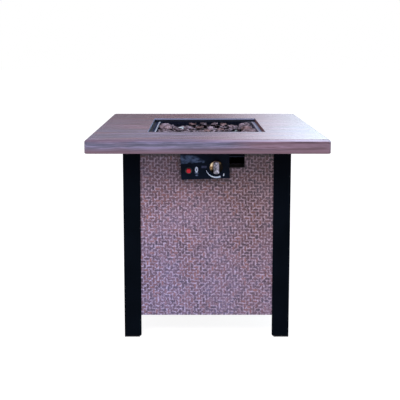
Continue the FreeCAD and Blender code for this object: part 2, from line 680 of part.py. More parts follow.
def rock_sites(chance):
    """Sites as (point, lowest, highest): the pan's floor, round and inside the ring, and on the burner."""
    sites = []
    bed_top = RING_Z - RING_TUBE_R - ROCK_GAP
    crown = TABLE_HEIGHT - ROCK_HEADROOM
    bed_pitch = PAN_SIDE / BED_STONES
    reach = BED_STONES // 2
    for column in range(-reach, reach + 1):
        for row in range(-reach, reach + 1):
            if column or row:
                spot = Vector(PAN_SHIFT + column * bed_pitch, row * bed_pitch, (PAN_FLOOR + bed_top) / 2)
                sites.append((spot, PAN_FLOOR, bed_top))
    edge = PAN_SIDE / 2 - (PAN_SIDE / 2 - RING_R - RING_TUBE_R) / 2
    for number in range(4 * RIM_STONES):
        side = number // RIM_STONES
        slump = BACK_SLUMP if side == 2 else 0
        along = (2 * (number % RIM_STONES) + 1 - RIM_STONES) / RIM_STONES * edge
        spot = Vector(along + chance.uniform(-RIM_STRAY, RIM_STRAY), -edge, RING_Z + SETTLING - slump)
        spot = FreeCAD.Rotation(Z, 90 * side).multVec(spot) + X * PAN_SHIFT
        sites.append((spot, bed_top, crown + SETTLING - slump - chance.uniform(0, CROWN_STRAY)))
    for number in range(CORE_STONES):
        angle = 2 * math.pi * (number + 0.5) / CORE_STONES
        spot = Vector(CORE_R * math.cos(angle), CORE_R * math.sin(angle), RING_Z + SETTLING)
        sites.append((spot, bed_top, crown + SETTLING - chance.uniform(0, CROWN_STRAY)))
    ring_top = RING_Z + RING_TUBE_R
    for number in range(CHIPS):
        angle = math.radians(CHIP_START + CHIP_STEP * number)
        spot = Vector(RING_R * math.cos(angle), RING_R * math.sin(angle), (ring_top + crown) / 2)
        sites.append((spot, ring_top, crown))
    bar_top = RING_Z + CROSSBAR_R
    for number in range(BAR_STONES):
        spot = Vector((number + 0.5 - BAR_STONES / 2) * BAR_PITCH, 0, (bar_top + crown) / 2)
        sites.append((spot, bar_top, crown))
    return sites


def rock_limits(site, low, high, sites):
    """Planes that keep a stone off the pan, the burner, the probes and the other stones."""
    inner = PAN_SIDE / 2 - ROCK_GAP
    planes = [
        (X, PAN_SHIFT + inner),
        (X * -1, inner - PAN_SHIFT),
        (Y, inner),
        (Y * -1, inner),
        (Z, high - ROCK_GAP),
        (Z * -1, -low - ROCK_GAP),
    ]
    for other, other_low, _ in sites:
        step = other - site
        if other_low == low:
            step.z = 0                # stones side by side part along upright planes, free to settle
        if ROCK_GAP < step.Length < NEIGHBOUR:
            normal = Vector(step).normalize()
            planes.append((normal, normal.dot((site + other) / 2) - ROCK_GAP))
    around = Vector(site.x, site.y, 0)
    outward = Vector(around).normalize()
    beside_ring = low < RING_Z < high
    if beside_ring and around.Length < RING_R:
        for turn in range(-60, 61, 15):
            leaning = FreeCAD.Rotation(Z, turn).multVec(outward)
            planes.append((leaning, RING_R - RING_TUBE_R - 2 * ROCK_GAP))
        side = Y if site.y > 0 else Y * -1
        planes.append((side * -1, -CROSSBAR_R - ROCK_GAP))
    elif beside_ring:
        planes.append((outward * -1, -RING_R - RING_TUBE_R - ROCK_GAP))
    if low < RING_Z:
        planes.append((outward * -1, -COLLAR_R - ROCK_GAP))
    pilot = Vector(PILOT_X, PILOT_Y, 0)
    clear = math.hypot(PILOT_WIDTH, PILOT_TAB) / 2 + ROCK_GAP
    if (around - pilot).Length > clear:
        away = Vector(around - pilot).normalize()
        planes.append((away * -1, -away.dot(pilot) - clear))
    return planes


def settled(stone, supports):
    """Lowers a stone until it rests on what lies under it."""
    near = [other for other in supports if beside(other, stone)]
    for _ in range(SETTLE_STEPS):
        gap = min(stone.distToShape(other)[0] for other in near)
        if gap < SETTLED:
            break
        stone.translate(Z * -gap)
    return stone


def beside(other, stone):
    """Whether two shapes come near each other, seen from above."""
    one = other.BoundBox
    two = stone.BoundBox
    across = one.XMin < two.XMax and two.XMin < one.XMax
    return across and one.YMin < two.YMax and two.YMin < one.YMax


def lava_rocks():
    """Stones by the pan's floor first, so that each settles on those below it."""
    chance = random.Random(7)
    inner = PAN_SIDE / 2
    floor = block(PAN_SHIFT - inner, PAN_SHIFT + inner, -inner, inner, PAN_UNDER, PAN_FLOOR)
    tube = Part.makeTorus(RING_R, RING_TUBE_R, Vector(0, 0, RING_Z), Z)
    burner = ring_burner()
    sites = rock_sites(chance)
    pilot = Vector(PILOT_X, PILOT_Y, 0)
    room = math.hypot(PILOT_WIDTH, PILOT_TAB) / 2 + PILOT_ROOM
    sites = [item for item in sites if (Vector(item[0].x, item[0].y, 0) - pilot).Length > room]
    stones = []
    for site, low, high in sites:
        on_burner = low > RING_Z
        supports = [burner] if on_burner else [floor, tube]
        stone = rock(site, rock_limits(site, low, high, sites), CHIP_REACH if on_burner else ROCK_REACH, chance)
        stones.append(settled(stone, supports + stones))
    return Part.makeCompound(stones)


# ---- Control box, valve and igniter ----

def control_box():
    """Folded tray that hangs from the front rail by a tab, with holes for the stem and the button."""
    left = BOX_X - BOX_WIDTH / 2
    right = BOX_X + BOX_WIDTH / 2
    low = BOX_Z - BOX_HEIGHT / 2
    high = BOX_Z + BOX_HEIGHT / 2
    tray = block(left, right, FACE_Y, -INNER_HALF, low, high)
    corners = edges_where(tray, lambda box: box.YMax < FACE_Y + PICK)
    tray = tray.makeFillet(BOX_WALL, corners)
    wall = BOX_WALL
    hollow = block(left + wall, right - wall, FACE_BACK, -INNER_HALF, low + wall, high - wall)
    tray = tray.cut(hollow)
    tab_left = BOX_X - HANGER_WIDTH / 2
    tab_right = BOX_X + HANGER_WIDTH / 2
    bridge = block(tab_left, tab_right, -INNER_HALF, -PANEL_BACK, high - BOX_WALL, high)
    tab = block(tab_left, tab_right, -PANEL_BACK - BOX_WALL, -PANEL_BACK, high - HANGER_DROP, high)
    tray = tilted(tray.fuse([bridge, tab]).removeSplitter())
    stem_hole = rod(STEM_R + BODY_GAP, BOX_WALL, on_face(KNOB_DX, KNOB_DZ), Y)
    button_hole = rod(BUTTON_R + BODY_GAP, BOX_WALL, on_face(BUTTON_DX, BUTTON_DZ), Y)
    return tray.cut([stem_hole, button_hole])


def gas_valve():
    """Cast valve: nose against the control box, hollow for the stem's spring cup, outlet at the back."""
    start = on_face(KNOB_DX, KNOB_DZ) + Y * BOX_WALL
    barrel = VALVE_END - FACE_BACK
    bore = STEM_R + STEM_FIT
    bore_end = CAVITY_DEPTH + PUSH_TRAVEL + 3 * CUP_THICK
    profile = [
        (0, bore),
        (0, NOSE_R),
        (NOSE_LENGTH, NOSE_R),
        (NOSE_LENGTH, VALVE_R),
        (barrel, VALVE_R),
        (barrel, OUTLET_R),
        (barrel + OUTLET_LENGTH, OUTLET_R),
        (barrel + OUTLET_LENGTH, 0),
        (bore_end, 0),
        (bore_end, bore),
        (CAVITY_DEPTH, bore),
        (CAVITY_DEPTH, CAVITY_R),
        (2 * CUP_THICK, CAVITY_R),
        (2 * CUP_THICK, bore),
    ]
    valve = revolved(profile, start, Y, Z)
    seat = Vector(start.x, INLET_Y, start.z - VALVE_R - INLET_SEAT)
    boss = rod(INLET_HEX_R, VALVE_R / 2, seat, Z)
    return valve.fuse(boss).removeSplitter()


def inlet_fitting():
    """Brass flare fitting under the valve, where the cylinder's hose screws on."""
    knob = on_face(KNOB_DX, KNOB_DZ)
    start = Vector(knob.x, INLET_Y, knob.z - VALVE_R - INLET_SEAT)
    nut = hexagon(INLET_HEX_R, INLET_HEX, start, Z * -1)
    nose = rod(INLET_R, INLET_LENGTH, start - Z * INLET_HEX, Z * -1)
    return nut.fuse(nose).removeSplitter()


def stem_spring_cup():
    """Washer on the stem that the valve's spring pushes forward. It slides and does not turn."""
    start = on_face(KNOB_DX, KNOB_DZ) + Y * (BOX_WALL + 2 * CUP_THICK + 2 * BODY_GAP)
    return ring(CUP_R, STEM_R + STEM_FIT, CUP_THICK, start, Y)


def valve_stem():
    """Round stem from inside the valve to the front of the knob's disc."""
    face = on_face(KNOB_DX, KNOB_DZ)
    front = face - Y * (KNOB_OFF_FACE + KNOB_THICK)
    length = KNOB_OFF_FACE + KNOB_THICK + BOX_WALL + CAVITY_DEPTH + 2 * CUP_THICK
    return rod(STEM_R, length, front, Y)


def knob_disc():
    """Turned skirt of the knob, with a bevelled rim."""
    start = on_face(KNOB_DX, KNOB_DZ) - Y * (KNOB_OFF_FACE + KNOB_THICK)
    bevel = KNOB_THICK / 4
    profile = [
        (0, STEM_R),
        (0, KNOB_R - bevel),
        (bevel, KNOB_R),
        (KNOB_THICK, KNOB_R),
        (KNOB_THICK, STEM_R),
    ]
    return revolved(profile, start, Y, Z)


def knob_grip():
    """Straight grip across the knob, rounded to the disc at its ends and softened at its front."""
    face = on_face(KNOB_DX, KNOB_DZ)
    back = FACE_Y - KNOB_OFF_FACE - KNOB_THICK
    half = GRIP_WIDTH / 2
    bar = block(face.x - half, face.x + half, back - GRIP_HEIGHT, back, face.z - KNOB_R, face.z + KNOB_R)
    disc = rod(KNOB_R - KNOB_THICK / 4, GRIP_HEIGHT, Vector(face.x, back, face.z), Y * -1)
    bar = bar.common(disc)
    soft = edges_where(bar, lambda box: box.YMax < back - GRIP_HEIGHT + PICK)
    bar = bar.makeChamfer(GRIP_WIDTH / 12, soft)
    return bar.rotate(face, Y, -BOX_TILT)


def igniter_barrel():
    """Moulded battery barrel clamped behind the control face."""
    start = on_face(BUTTON_DX, BUTTON_DZ) + Y * BOX_WALL
    slide_end = BUTTON_TRAVEL + 2 * BEZEL_THICK
    profile = [
        (0, BUTTON_R + BUTTON_FIT),
        (0, BARREL_FLANGE_R),
        (BARREL_FLANGE, BARREL_FLANGE_R),
        (BARREL_FLANGE, BARREL_R),
        (BARREL_LENGTH, BARREL_R),
        (BARREL_LENGTH, 0),
        (slide_end + BATTERY_LENGTH, 0),
        (slide_end + BATTERY_LENGTH, BATTERY_R),
        (slide_end, BATTERY_R),
        (slide_end, BUTTON_R + BUTTON_FIT),
    ]
    return revolved(profile, start, Y, Z)


def igniter_battery():
    """Battery at the bottom of the barrel."""
    start = on_face(BUTTON_DX, BUTTON_DZ) + Y * (BOX_WALL + BUTTON_TRAVEL + 2 * BEZEL_THICK)
    return rod(BATTERY_R, BATTERY_LENGTH, start, Y)


def igniter_bezel():
    """Screwed ring that clamps the barrel to the control face."""
    start = on_face(BUTTON_DX, BUTTON_DZ) - Y * BEZEL_THICK
    outer = rod(BEZEL_R, BEZEL_THICK, start, Y)
    front = edges_where(outer, lambda box: box.YMax < start.y + PICK)
    outer = outer.makeChamfer(BEZEL_THICK / 3, front)
    return outer.cut(rod(BUTTON_R + BUTTON_FIT, BEZEL_THICK, start, Y))


def igniter_button():
    """Push button with a bevelled front."""
    start = on_face(BUTTON_DX, BUTTON_DZ) - Y * BUTTON_PROUD
    body = rod(BUTTON_R, BUTTON_PROUD + BOX_WALL + BEZEL_THICK, start, Y)
    front = edges_where(body, lambda box: box.YMax < start.y + PICK)
    return body.makeChamfer(BUTTON_R / 5, front)


# ---- Fasteners ----

def frame_nuts():
    """Nuts on the weld studs that hold the rails, and the panels with them, to the legs."""
    across = BASE_HALF - LEG_WIDTH / 2
    nuts = []
    for height in (MANTEL_BOTTOM - RAIL_WIDTH / 2, LOW_RAIL_Z + RAIL_WIDTH / 2):
        front = RAIL_WALL - PANEL_BACK
        for x in (-across, across):
            nuts.append(hexagon(NUT_R, NUT_THICK, Vector(x, front, height), Y))
            nuts.append(hexagon(NUT_R, NUT_THICK, Vector(x, INNER_HALF - RAIL_WALL, height), Y * -1))
    return Part.makeCompound(nuts)


def panel_screws():
    """Screws through the side rails into the side panels' weld nuts."""
    screws = []
    for height in (MANTEL_BOTTOM - RAIL_WIDTH / 2, LOW_RAIL_Z + RAIL_WIDTH / 2):
        for y in (-BASE_HALF / 2, BASE_HALF / 2):
            start = Vector(RAIL_WALL - PANEL_BACK, y, height)
            screws.append(rod(SCREW_HEAD_R, SCREW_HEAD, start, X))
            screws.append(rod(SCREW_HEAD_R, SCREW_HEAD, Vector(-start.x, y, height), X * -1))
    return Part.makeCompound(screws)


def screw_up(x, y, z):
    """A screw driven upwards into the mantel, with its head's upper face at z."""
    head = rod(SCREW_HEAD_R, SCREW_HEAD, Vector(x, y, z - SCREW_HEAD), Z)
    return head.fuse(rod(SCREW_R, SCREW_LENGTH, Vector(x, y, z), Z)).removeSplitter()


def mantel_screw_spots():
    across = RAIL_REACH + RAIL_WIDTH / 2
    along = BASE_HALF / 2
    return [(x, y) for x in (-across, across) for y in (-along, along)]


def shield_screw_spots():
    across = SHIELD_WIDTH / 2 + SHIELD_LIP / 2
    along = SHIELD_LENGTH / 2 - SHIELD_LIP
    return [(x, y) for x in (-across, across) for y in (-along, along)]


def screw_shanks(spots, below):
    """The holes that a group of screws needs, from below the piece they clamp up into the mantel."""
    length = SCREW_LENGTH
    return [rod(SCREW_R, length, Vector(x, y, MANTEL_BOTTOM - below), Z) for x, y in spots]


def screws(spots, below):
    return Part.makeCompound([screw_up(x, y, MANTEL_BOTTOM - below) for x, y in spots])


# ---- The whole table ----

def build():
    nodes = {}
    rail_holes = screw_shanks(mantel_screw_spots(), RAIL_WALL)
    shield_holes = screw_shanks(shield_screw_spots(), SHIELD_WALL)
    nodes["mantel_top"] = mantel_top().cut(rail_holes + shield_holes)

    corners = ("front_left", "front_right", "rear_right", "rear_left")
    for name, shape in zip(corners, quarter_turns(leg())):
        nodes["leg_" + name] = shape
    nodes["foot_glides"] = Part.makeCompound(quarter_turns(foot_glide()))

    nodes["front_panel"] = front_panel()
    side = panel(RAIL_REACH)
    nodes["right_panel"] = side.copy().rotate(Vector(), Z, 90)
    nodes["left_panel"] = side.copy().rotate(Vector(), Z, -90)

    nodes["top_rail_front"] = rail_bar(-PANEL_BACK, PANEL_BACK, True)
    nodes["low_rail_front"] = rail_bar(-PANEL_BACK, PANEL_BACK, False)
    for level, high in (("top", True), ("low", False)):
        right = rail_bar(-RAIL_REACH, REAR_REACH, high).rotate(Vector(), Z, 90)
        left = rail_bar(-REAR_REACH, RAIL_REACH, high).rotate(Vector(), Z, -90)
        if high:
            right = right.cut(rail_holes)
            left = left.cut(rail_holes)
        nodes[level + "_rail_right"] = right
        nodes[level + "_rail_left"] = left
    top_rail_low = MANTEL_BOTTOM - RAIL_WIDTH
    low_rail_high = LOW_RAIL_Z + RAIL_WIDTH
    nodes["top_rail_rear"] = rear_rail(top_rail_low, top_rail_low)
    nodes["low_rail_rear"] = rear_rail(LOW_RAIL_Z, low_rail_high - RAIL_WALL)

    nodes["access_door"] = access_door()
    nodes["hinge_pin_top"] = hinge_pin(top_rail_low, Z)
    nodes["hinge_pin_low"] = hinge_pin(low_rail_high, Z * -1)
    nodes["door_strike"] = door_strike()
    nodes["door_magnet"] = door_magnet()
    nodes["door_pull"] = door_pull()

    nodes["burner_pan"] = burner_pan()
    nodes["ring_burner"] = ring_burner()
    nodes["burner_locknut"] = burner_locknut()
    nodes["air_mixer"] = air_mixer()
    nodes["gas_orifice"] = gas_orifice()
    nodes["gas_feed_tube"] = gas_feed_tube()
    nodes["pilot_bracket"] = pilot_bracket()
    nodes["spark_electrode"] = spark_electrode()
    nodes["thermocouple"] = thermocouple()
    nodes["lava_rocks"] = lava_rocks()
    nodes["heat_shield"] = heat_shield().cut(shield_holes)

    nodes["control_box"] = control_box()
    nodes["gas_valve"] = gas_valve()
    nodes["inlet_fitting"] = inlet_fitting()
    nodes["stem_spring_cup"] = stem_spring_cup()
    nodes["valve_stem"] = valve_stem()
    nodes["knob_disc"] = knob_disc()
    nodes["knob_grip"] = knob_grip()
    nodes["igniter_barrel"] = igniter_barrel()
    nodes["igniter_battery"] = igniter_battery()
    nodes["igniter_bezel"] = igniter_bezel()
    nodes["igniter_button"] = igniter_button()

    nodes["frame_nuts"] = frame_nuts()
    nodes["panel_screws"] = panel_screws()
    nodes["mantel_screws"] = screws(mantel_screw_spots(), RAIL_WALL)
    nodes["shield_screws"] = screws(shield_screw_spots(), SHIELD_WALL)
    return nodes


os.makedirs("parts", exist_ok=True)
for node, shape in build().items():
    shape.exportStep("parts/" + node + ".step")
    print(node, len(shape.Solids), round(shape.Volume), shape.isValid())
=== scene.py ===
import math

import bmesh
import bpy
from mathutils import Matrix, Vector


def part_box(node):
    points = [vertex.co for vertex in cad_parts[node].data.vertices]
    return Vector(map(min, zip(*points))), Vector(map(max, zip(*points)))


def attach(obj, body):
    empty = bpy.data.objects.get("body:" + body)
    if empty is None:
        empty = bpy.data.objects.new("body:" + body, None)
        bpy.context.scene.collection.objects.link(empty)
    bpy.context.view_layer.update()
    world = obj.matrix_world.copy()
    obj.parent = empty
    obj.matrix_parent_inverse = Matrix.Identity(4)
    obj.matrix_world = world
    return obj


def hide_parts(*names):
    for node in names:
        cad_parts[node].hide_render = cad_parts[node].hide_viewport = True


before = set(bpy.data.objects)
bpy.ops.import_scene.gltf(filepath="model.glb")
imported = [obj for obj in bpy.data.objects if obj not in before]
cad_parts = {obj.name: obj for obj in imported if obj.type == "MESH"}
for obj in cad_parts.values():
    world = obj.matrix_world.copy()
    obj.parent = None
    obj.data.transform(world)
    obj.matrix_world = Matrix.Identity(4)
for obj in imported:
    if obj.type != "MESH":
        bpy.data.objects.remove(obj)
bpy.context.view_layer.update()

# A square gas fire table: a cast mantel with a burner pan in its cut-out, on four angle legs, with
# embossed sheet round the base, a door at the back and a control box hung under the front edge.
# Metres, with the front towards -Y and +Z up. Sizes given in millimetres are multiplied by MM.

MM = 0.001
WELD = 0.01           # points of a mesh that lie closer than this are one
QUARTER = math.pi / 2


# ---- Legs, rails and door pull ----
# Angle legs and rails, bent from 2 mm mild steel and bolted into a frame, and a turned steel knob on
# the door. They are powder coated black, which dries to a dull skin with a fine pebble.

def hexed(colour):
    """A "#rrggbb" sRGB colour as the linear RGBA that a socket takes."""
    shares = [int(colour[i:i + 2], 16) / 255 for i in (1, 3, 5)]
    return [s / 12.92 if s <= 0.04045 else ((s + 0.055) / 1.055) ** 2.4 for s in shares] + [1.0]


def every(millimetres):
    """The scale at which a texture's features lie about that many millimetres apart."""
    return 1 / (millimetres * MM)


def add(tree, kind, inputs=(), operation=None, **settings):
    """Adds a node with its settings. Its inputs are given by name, or in order from the first in use.
    Each is a value, or a node or an output to link from. A node gives its first output in use."""
    node = tree.nodes.new(kind if "Node" in kind else "ShaderNode" + kind)
    if operation:
        node.operation = operation
    for name, value in settings.items():
        setattr(node, name, value)
    sockets = [socket for socket in node.inputs if socket.enabled]
    for key, value in inputs.items() if isinstance(inputs, dict) else enumerate(inputs):
        socket = sockets[key] if isinstance(key, int) else next(s for s in sockets if s.name == key)
        if isinstance(value, bpy.types.Node):
            value = next(output for output in value.outputs if output.enabled)
        if isinstance(value, bpy.types.NodeSocket):
            tree.links.new(value, socket)
        else:
            socket.default_value = value
    return node


def shade(ramp, *stops):
    """Gives a colour ramp its stops, each a place from 0 to 1 and a hex colour."""
    elements = ramp.color_ramp.elements
    while len(elements) < len(stops):
        elements.new(1.0)
    for element, (place, colour) in zip(elements, stops):
        element.position = place
        element.color = hexed(colour)
    return ramp


def new_material(name):
    """A new material, its emptied tree and the object's own coordinates in it."""
    material = bpy.data.materials.new(name)
    material.use_nodes = True
    tree = material.node_tree
    tree.nodes.clear()
    return material, tree, add(tree, "TexCoord").outputs["Object"]


def surfaced(material, look):
    """Ends a material's tree with a surface that has this look."""
    tree = material.node_tree
    add(tree, "OutputMaterial", [add(tree, "BsdfPrincipled", look)])
    return material


def placed(name, data):
    """A new object in the scene."""
    piece = bpy.data.objects.new(name, data)
    bpy.context.scene.collection.objects.link(piece)
    return piece


def dress(material, *names):
    """Gives CAD nodes their material."""
    for name in names:
        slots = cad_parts[name].data.materials
        slots.clear()
        slots.append(material)


def black_powder_coat():
    material, tree, place = new_material("powder_coated_steel")
    pebble = add(tree, "TexNoise", [place, every(1.4), 2.0])
    cloud = add(tree, "TexNoise", [place, every(90), 4.0])
    colour = shade(add(tree, "ValToRGB", [cloud]), (0.3, "#03070d"), (0.75, "#070d15"))
    rough = add(tree, "MapRange", [cloud, 0.0, 1.0, 0.5, 0.66])
    bump = add(tree, "Bump", {"Height": pebble, "Strength": 0.35, "Distance": 0.08 * MM})
    return surfaced(material, {
        "Base Color": colour, "Roughness": rough, "Specular IOR Level": 0.02, "Normal": bump})


dress(black_powder_coat(), "leg_front_left", "leg_front_right", "leg_rear_left", "leg_rear_right",
      "top_rail_front", "top_rail_right", "top_rail_left", "top_rail_rear",
      "low_rail_front", "low_rail_right", "low_rail_left", "low_rail_rear", "door_pull")


# ---- Foot glides, bezel and ignition module ----
# Moulded black nylon: glides pushed into the legs, and the threaded housing of the push-button.
# The mould's spark-eroded face leaves an even matt grain, drawn coarser here so that it shows.

def plain_finish(name, noise, stops, look, bump=None):
    """A material with one noise (scale, detail and roughness) in its colour. The look holds its other
    values, where a pair of limits for the roughness varies with the noise, and a bump has a strength
    and a depth."""
    material, tree, place = new_material(name)
    varied = add(tree, "TexNoise", [place, *noise])
    look = {"Base Color": shade(add(tree, "ValToRGB", [varied]), *stops), **look}
    if isinstance(look["Roughness"], tuple):
        look["Roughness"] = add(tree, "MapRange", [varied, 0.0, 1.0, *look["Roughness"]])
    if bump:
        look["Normal"] = add(tree, "Bump", {"Height": varied, "Strength": bump[0], "Distance": bump[1]})
    return surfaced(material, look)


moulded_nylon = plain_finish("moulded_nylon", [every(0.6), 3.0], [(0.35, "#090b0e"), (0.7, "#12151a")],
                             {"Roughness": 0.55, "IOR": 1.53}, bump=(0.4, 0.05 * MM))
dress(moulded_nylon, "foot_glides", "igniter_bezel", "igniter_barrel")


# ---- Embossed panels and door ----
# Sheet steel pressed with a herringbone of small 2:1 tiles, then painted: a light lilac grey that
# stays in the joints, and a rust brown wiped over the tile tops, blotchy from one tile to the next.

TILE = 9.1            # width of a tile with its joint, which is half its length
JOINT = 2.7
RELIEF = 0.8          # from the joints up to the tile tops
CHAMFER = 0.3         # height of a tile's pressed edge
UNEVEN = 0.12         # how far a tile top may lie below the next
TOP_SHARE = 0.84      # share of a tile's size that its drawn-in top has
FACE_DEEP = 0.1       # points this near the outward face belong to it
TONES = (0.05, 1.0)   # least and most rust on a tile
TILE_SEED = 11
BOX_MIDDLE = sum(corner.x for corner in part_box("control_box")) / 2

# where the paint and its painted shade change, in metres
DARKER_PLACE = (0.2, -0.25, 0.44)    # it is darker round here
DARKER_FADE = (0.04, 0.3)            # and less between these distances
WASHED = (0.12, 0.42)               # the lilac wash gets thinner up these heights
MANTEL_SHADE = (0.42, 0.58)               # painted shade of the mantel darkens it up these
CONTACT_SHADE = (0.566, 0.574)              # and nearly black with painted shade above these, right under it
BOX_SHADOW_RISE = (0.468, 0.497)              # the control box's painted shadow fades out down these, under it
BOX_SHADOW_ASIDE = (0.066, 0.088)        # and ends between these distances from its middle
WARM_UP = (0.18, 0.5)               # browner up these heights
WARM_RIGHT = (-0.15, 0.2)           # and between these places, to the right


def antiqued_paint():
    material, tree, place = new_material("antiqued_paint_on_steel")
    tone = add(tree, "Attribute", attribute_name="tile_tone").outputs["Fac"]
    blotch = add(tree, "TexNoise", [place, every(95), 5.0, 0.6])
    smear = add(tree, "TexNoise", [place, every(7), 5.0, 0.72])
    mixed = add(tree, "Math", [tone, smear], "ADD")
    halved = add(tree, "Math", [mixed, 0.5], "MULTIPLY")
    rust = shade(add(tree, "ValToRGB", [halved]),
                 (0.22, "#32262f"), (0.42, "#5c444c"), (0.6, "#7a5456"), (0.8, "#9c6e66"))
    bloom = shade(add(tree, "ValToRGB", [smear]), (0.35, "#6a6488"), (0.65, "#9694c0"))
    x, _, z = add(tree, "SeparateXYZ", [place]).outputs
    lower = add(tree, "MapRange", [z, *WASHED, 0.06, -0.02])
    blotched = add(tree, "Math", [blotch, lower], "ADD")
    washed = add(tree, "MapRange", [blotched, 0.42, 0.68, 0.14, 0.58])
    top = add(tree, "Mix", [washed, rust, bloom], data_type="RGBA")
    joint = shade(add(tree, "ValToRGB", [smear]), (0.4, "#4e4254"), (0.5, "#92839a"), (0.62, "#c6c0e4"))
    is_top = add(tree, "Attribute", attribute_name="tile_top").outputs["Fac"]
    on_tile = add(tree, "Math", [is_top, 0.5], "GREATER_THAN")
    front = add(tree, "Mix", [on_tile, joint, top], data_type="RGBA")

    # darker near one place, and darker still with painted shade under the mantel, the tile tops more so
    from_corner = add(tree, "VectorMath", [place, DARKER_PLACE], "DISTANCE")
    darker_near_place = add(tree, "MapRange", [from_corner, *DARKER_FADE, 0.66, 1.0],
                  interpolation_type="SMOOTHSTEP")
    painted_mantel_shade = add(tree, "MapRange", [z, *MANTEL_SHADE, 1.0, 0.66])
    # a painted contact shadow, nearly black, right under the mantel
    painted_contact_shade = add(tree, "MapRange", [z, *CONTACT_SHADE, 1.0, 0.22])
    dimmed = add(tree, "Math", [darker_near_place, painted_mantel_shade], "MULTIPLY")
    in_joint = add(tree, "Math", [dimmed, 0.35, 0.65], "MULTIPLY_ADD")
    on_top = add(tree, "Math", [dimmed, 1.3, -0.3], "MULTIPLY_ADD")
    shared = add(tree, "Mix", [on_tile, in_joint, on_top])

    # painted shadow under the control box
    off_box = add(tree, "Math", [x, BOX_MIDDLE], "SUBTRACT")
    aside = add(tree, "Math", [off_box], "ABSOLUTE")
    under_box = add(tree, "MapRange", [aside, *BOX_SHADOW_ASIDE, 0.36, 0.0])
    near_box = add(tree, "MapRange", [z, *BOX_SHADOW_RISE, 0.0, 1.0], interpolation_type="SMOOTHSTEP")
    painted_box_shadow = add(tree, "Math", [under_box, near_box], "MULTIPLY")
    outside_box_shadow = add(tree, "Math", [1.0, painted_box_shadow], "SUBTRACT")
    both = add(tree, "Math", [shared, outside_box_shadow], "MULTIPLY")
    darkened = add(tree, "Math", [both, painted_contact_shade], "MULTIPLY")

    # browner upwards and to the right, where it keeps less blue than green
    warm_up = add(tree, "MapRange", [z, *WARM_UP, 1.04, 0.76])
    warm_right = add(tree, "MapRange", [x, *WARM_RIGHT, 1.03, 0.84])
    warmer = add(tree, "Math", [warm_up, warm_right], "MULTIPLY")
    blue_left = add(tree, "Math", [darkened, warmer], "MULTIPLY")
    green_share = add(tree, "Math", [warmer, 0.45, 0.55], "MULTIPLY_ADD")
    green_left = add(tree, "Math", [darkened, green_share], "MULTIPLY")
    left = add(tree, "CombineXYZ", [darkened, green_left, blue_left])
    rubbed = add(tree, "VectorMath", [front, left], "MULTIPLY")

    # the inside is near black: black primer, and painted shade inside the base
    inside = add(tree, "Attribute", attribute_name="inside").outputs["Fac"]
    colour = add(tree, "Mix", [inside, rubbed, hexed("#020303")], data_type="RGBA")
    rough = add(tree, "MapRange", [smear, 0.0, 1.0, 0.42, 0.62])
    skin_grain = add(tree, "TexNoise", [place, every(1.1), 3.0])
    bump = add(tree, "Bump", {"Height": skin_grain, "Strength": 0.3, "Distance": 0.1 * MM})
    return surfaced(material, {"Base Color": colour, "Roughness": rough, "Normal": bump})


def new_tree(name, **inputs):
    """A Geometry Nodes tree with a geometry in and out, and its inputs. Each is named, with _ for a
    space, with its type."""
    tree = bpy.data.node_groups.new(name, "GeometryNodeTree")
    tree.interface.new_socket("Geometry", in_out="INPUT", socket_type="NodeSocketGeometry")
    tree.interface.new_socket("Geometry", in_out="OUTPUT", socket_type="NodeSocketGeometry")
    for label, kind in inputs.items():
        tree.interface.new_socket(label.replace("_", " "), in_out="INPUT",
                                  socket_type="NodeSocket" + kind)
    return tree, tree.nodes.new("NodeGroupInput").outputs


def grown(name, source, tree, **values):
    """The plain mesh that a tree makes of a mesh. Values are given by the inputs' names, with _ for a
    space."""
    seed = placed(name + "_seed", source)
    modifier = seed.modifiers.new("grow", "NODES")
    modifier.node_group = tree
    for item in tree.interface.items_tree:
        if item.in_out == "INPUT" and item.name.replace(" ", "_") in values:
            modifier[item.identifier] = values[item.name.replace(" ", "_")]
    evaluated = seed.evaluated_get(bpy.context.evaluated_depsgraph_get())
    mesh = bpy.data.meshes.new_from_object(evaluated)
    mesh.name = name
    seed.modifiers.remove(modifier)
    bpy.data.objects.remove(seed)
    return placed(name, mesh)


def welded(name):
    """A closed copy of a CAD node's mesh, with its loose triangles joined."""
    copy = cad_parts[name].data.copy()
    shell = bmesh.new()
    shell.from_mesh(copy)
    bmesh.ops.remove_doubles(shell, verts=shell.verts, dist=WELD * MM)
    shell.to_mesh(copy)
    shell.free()
    copy.materials.clear()
    return copy


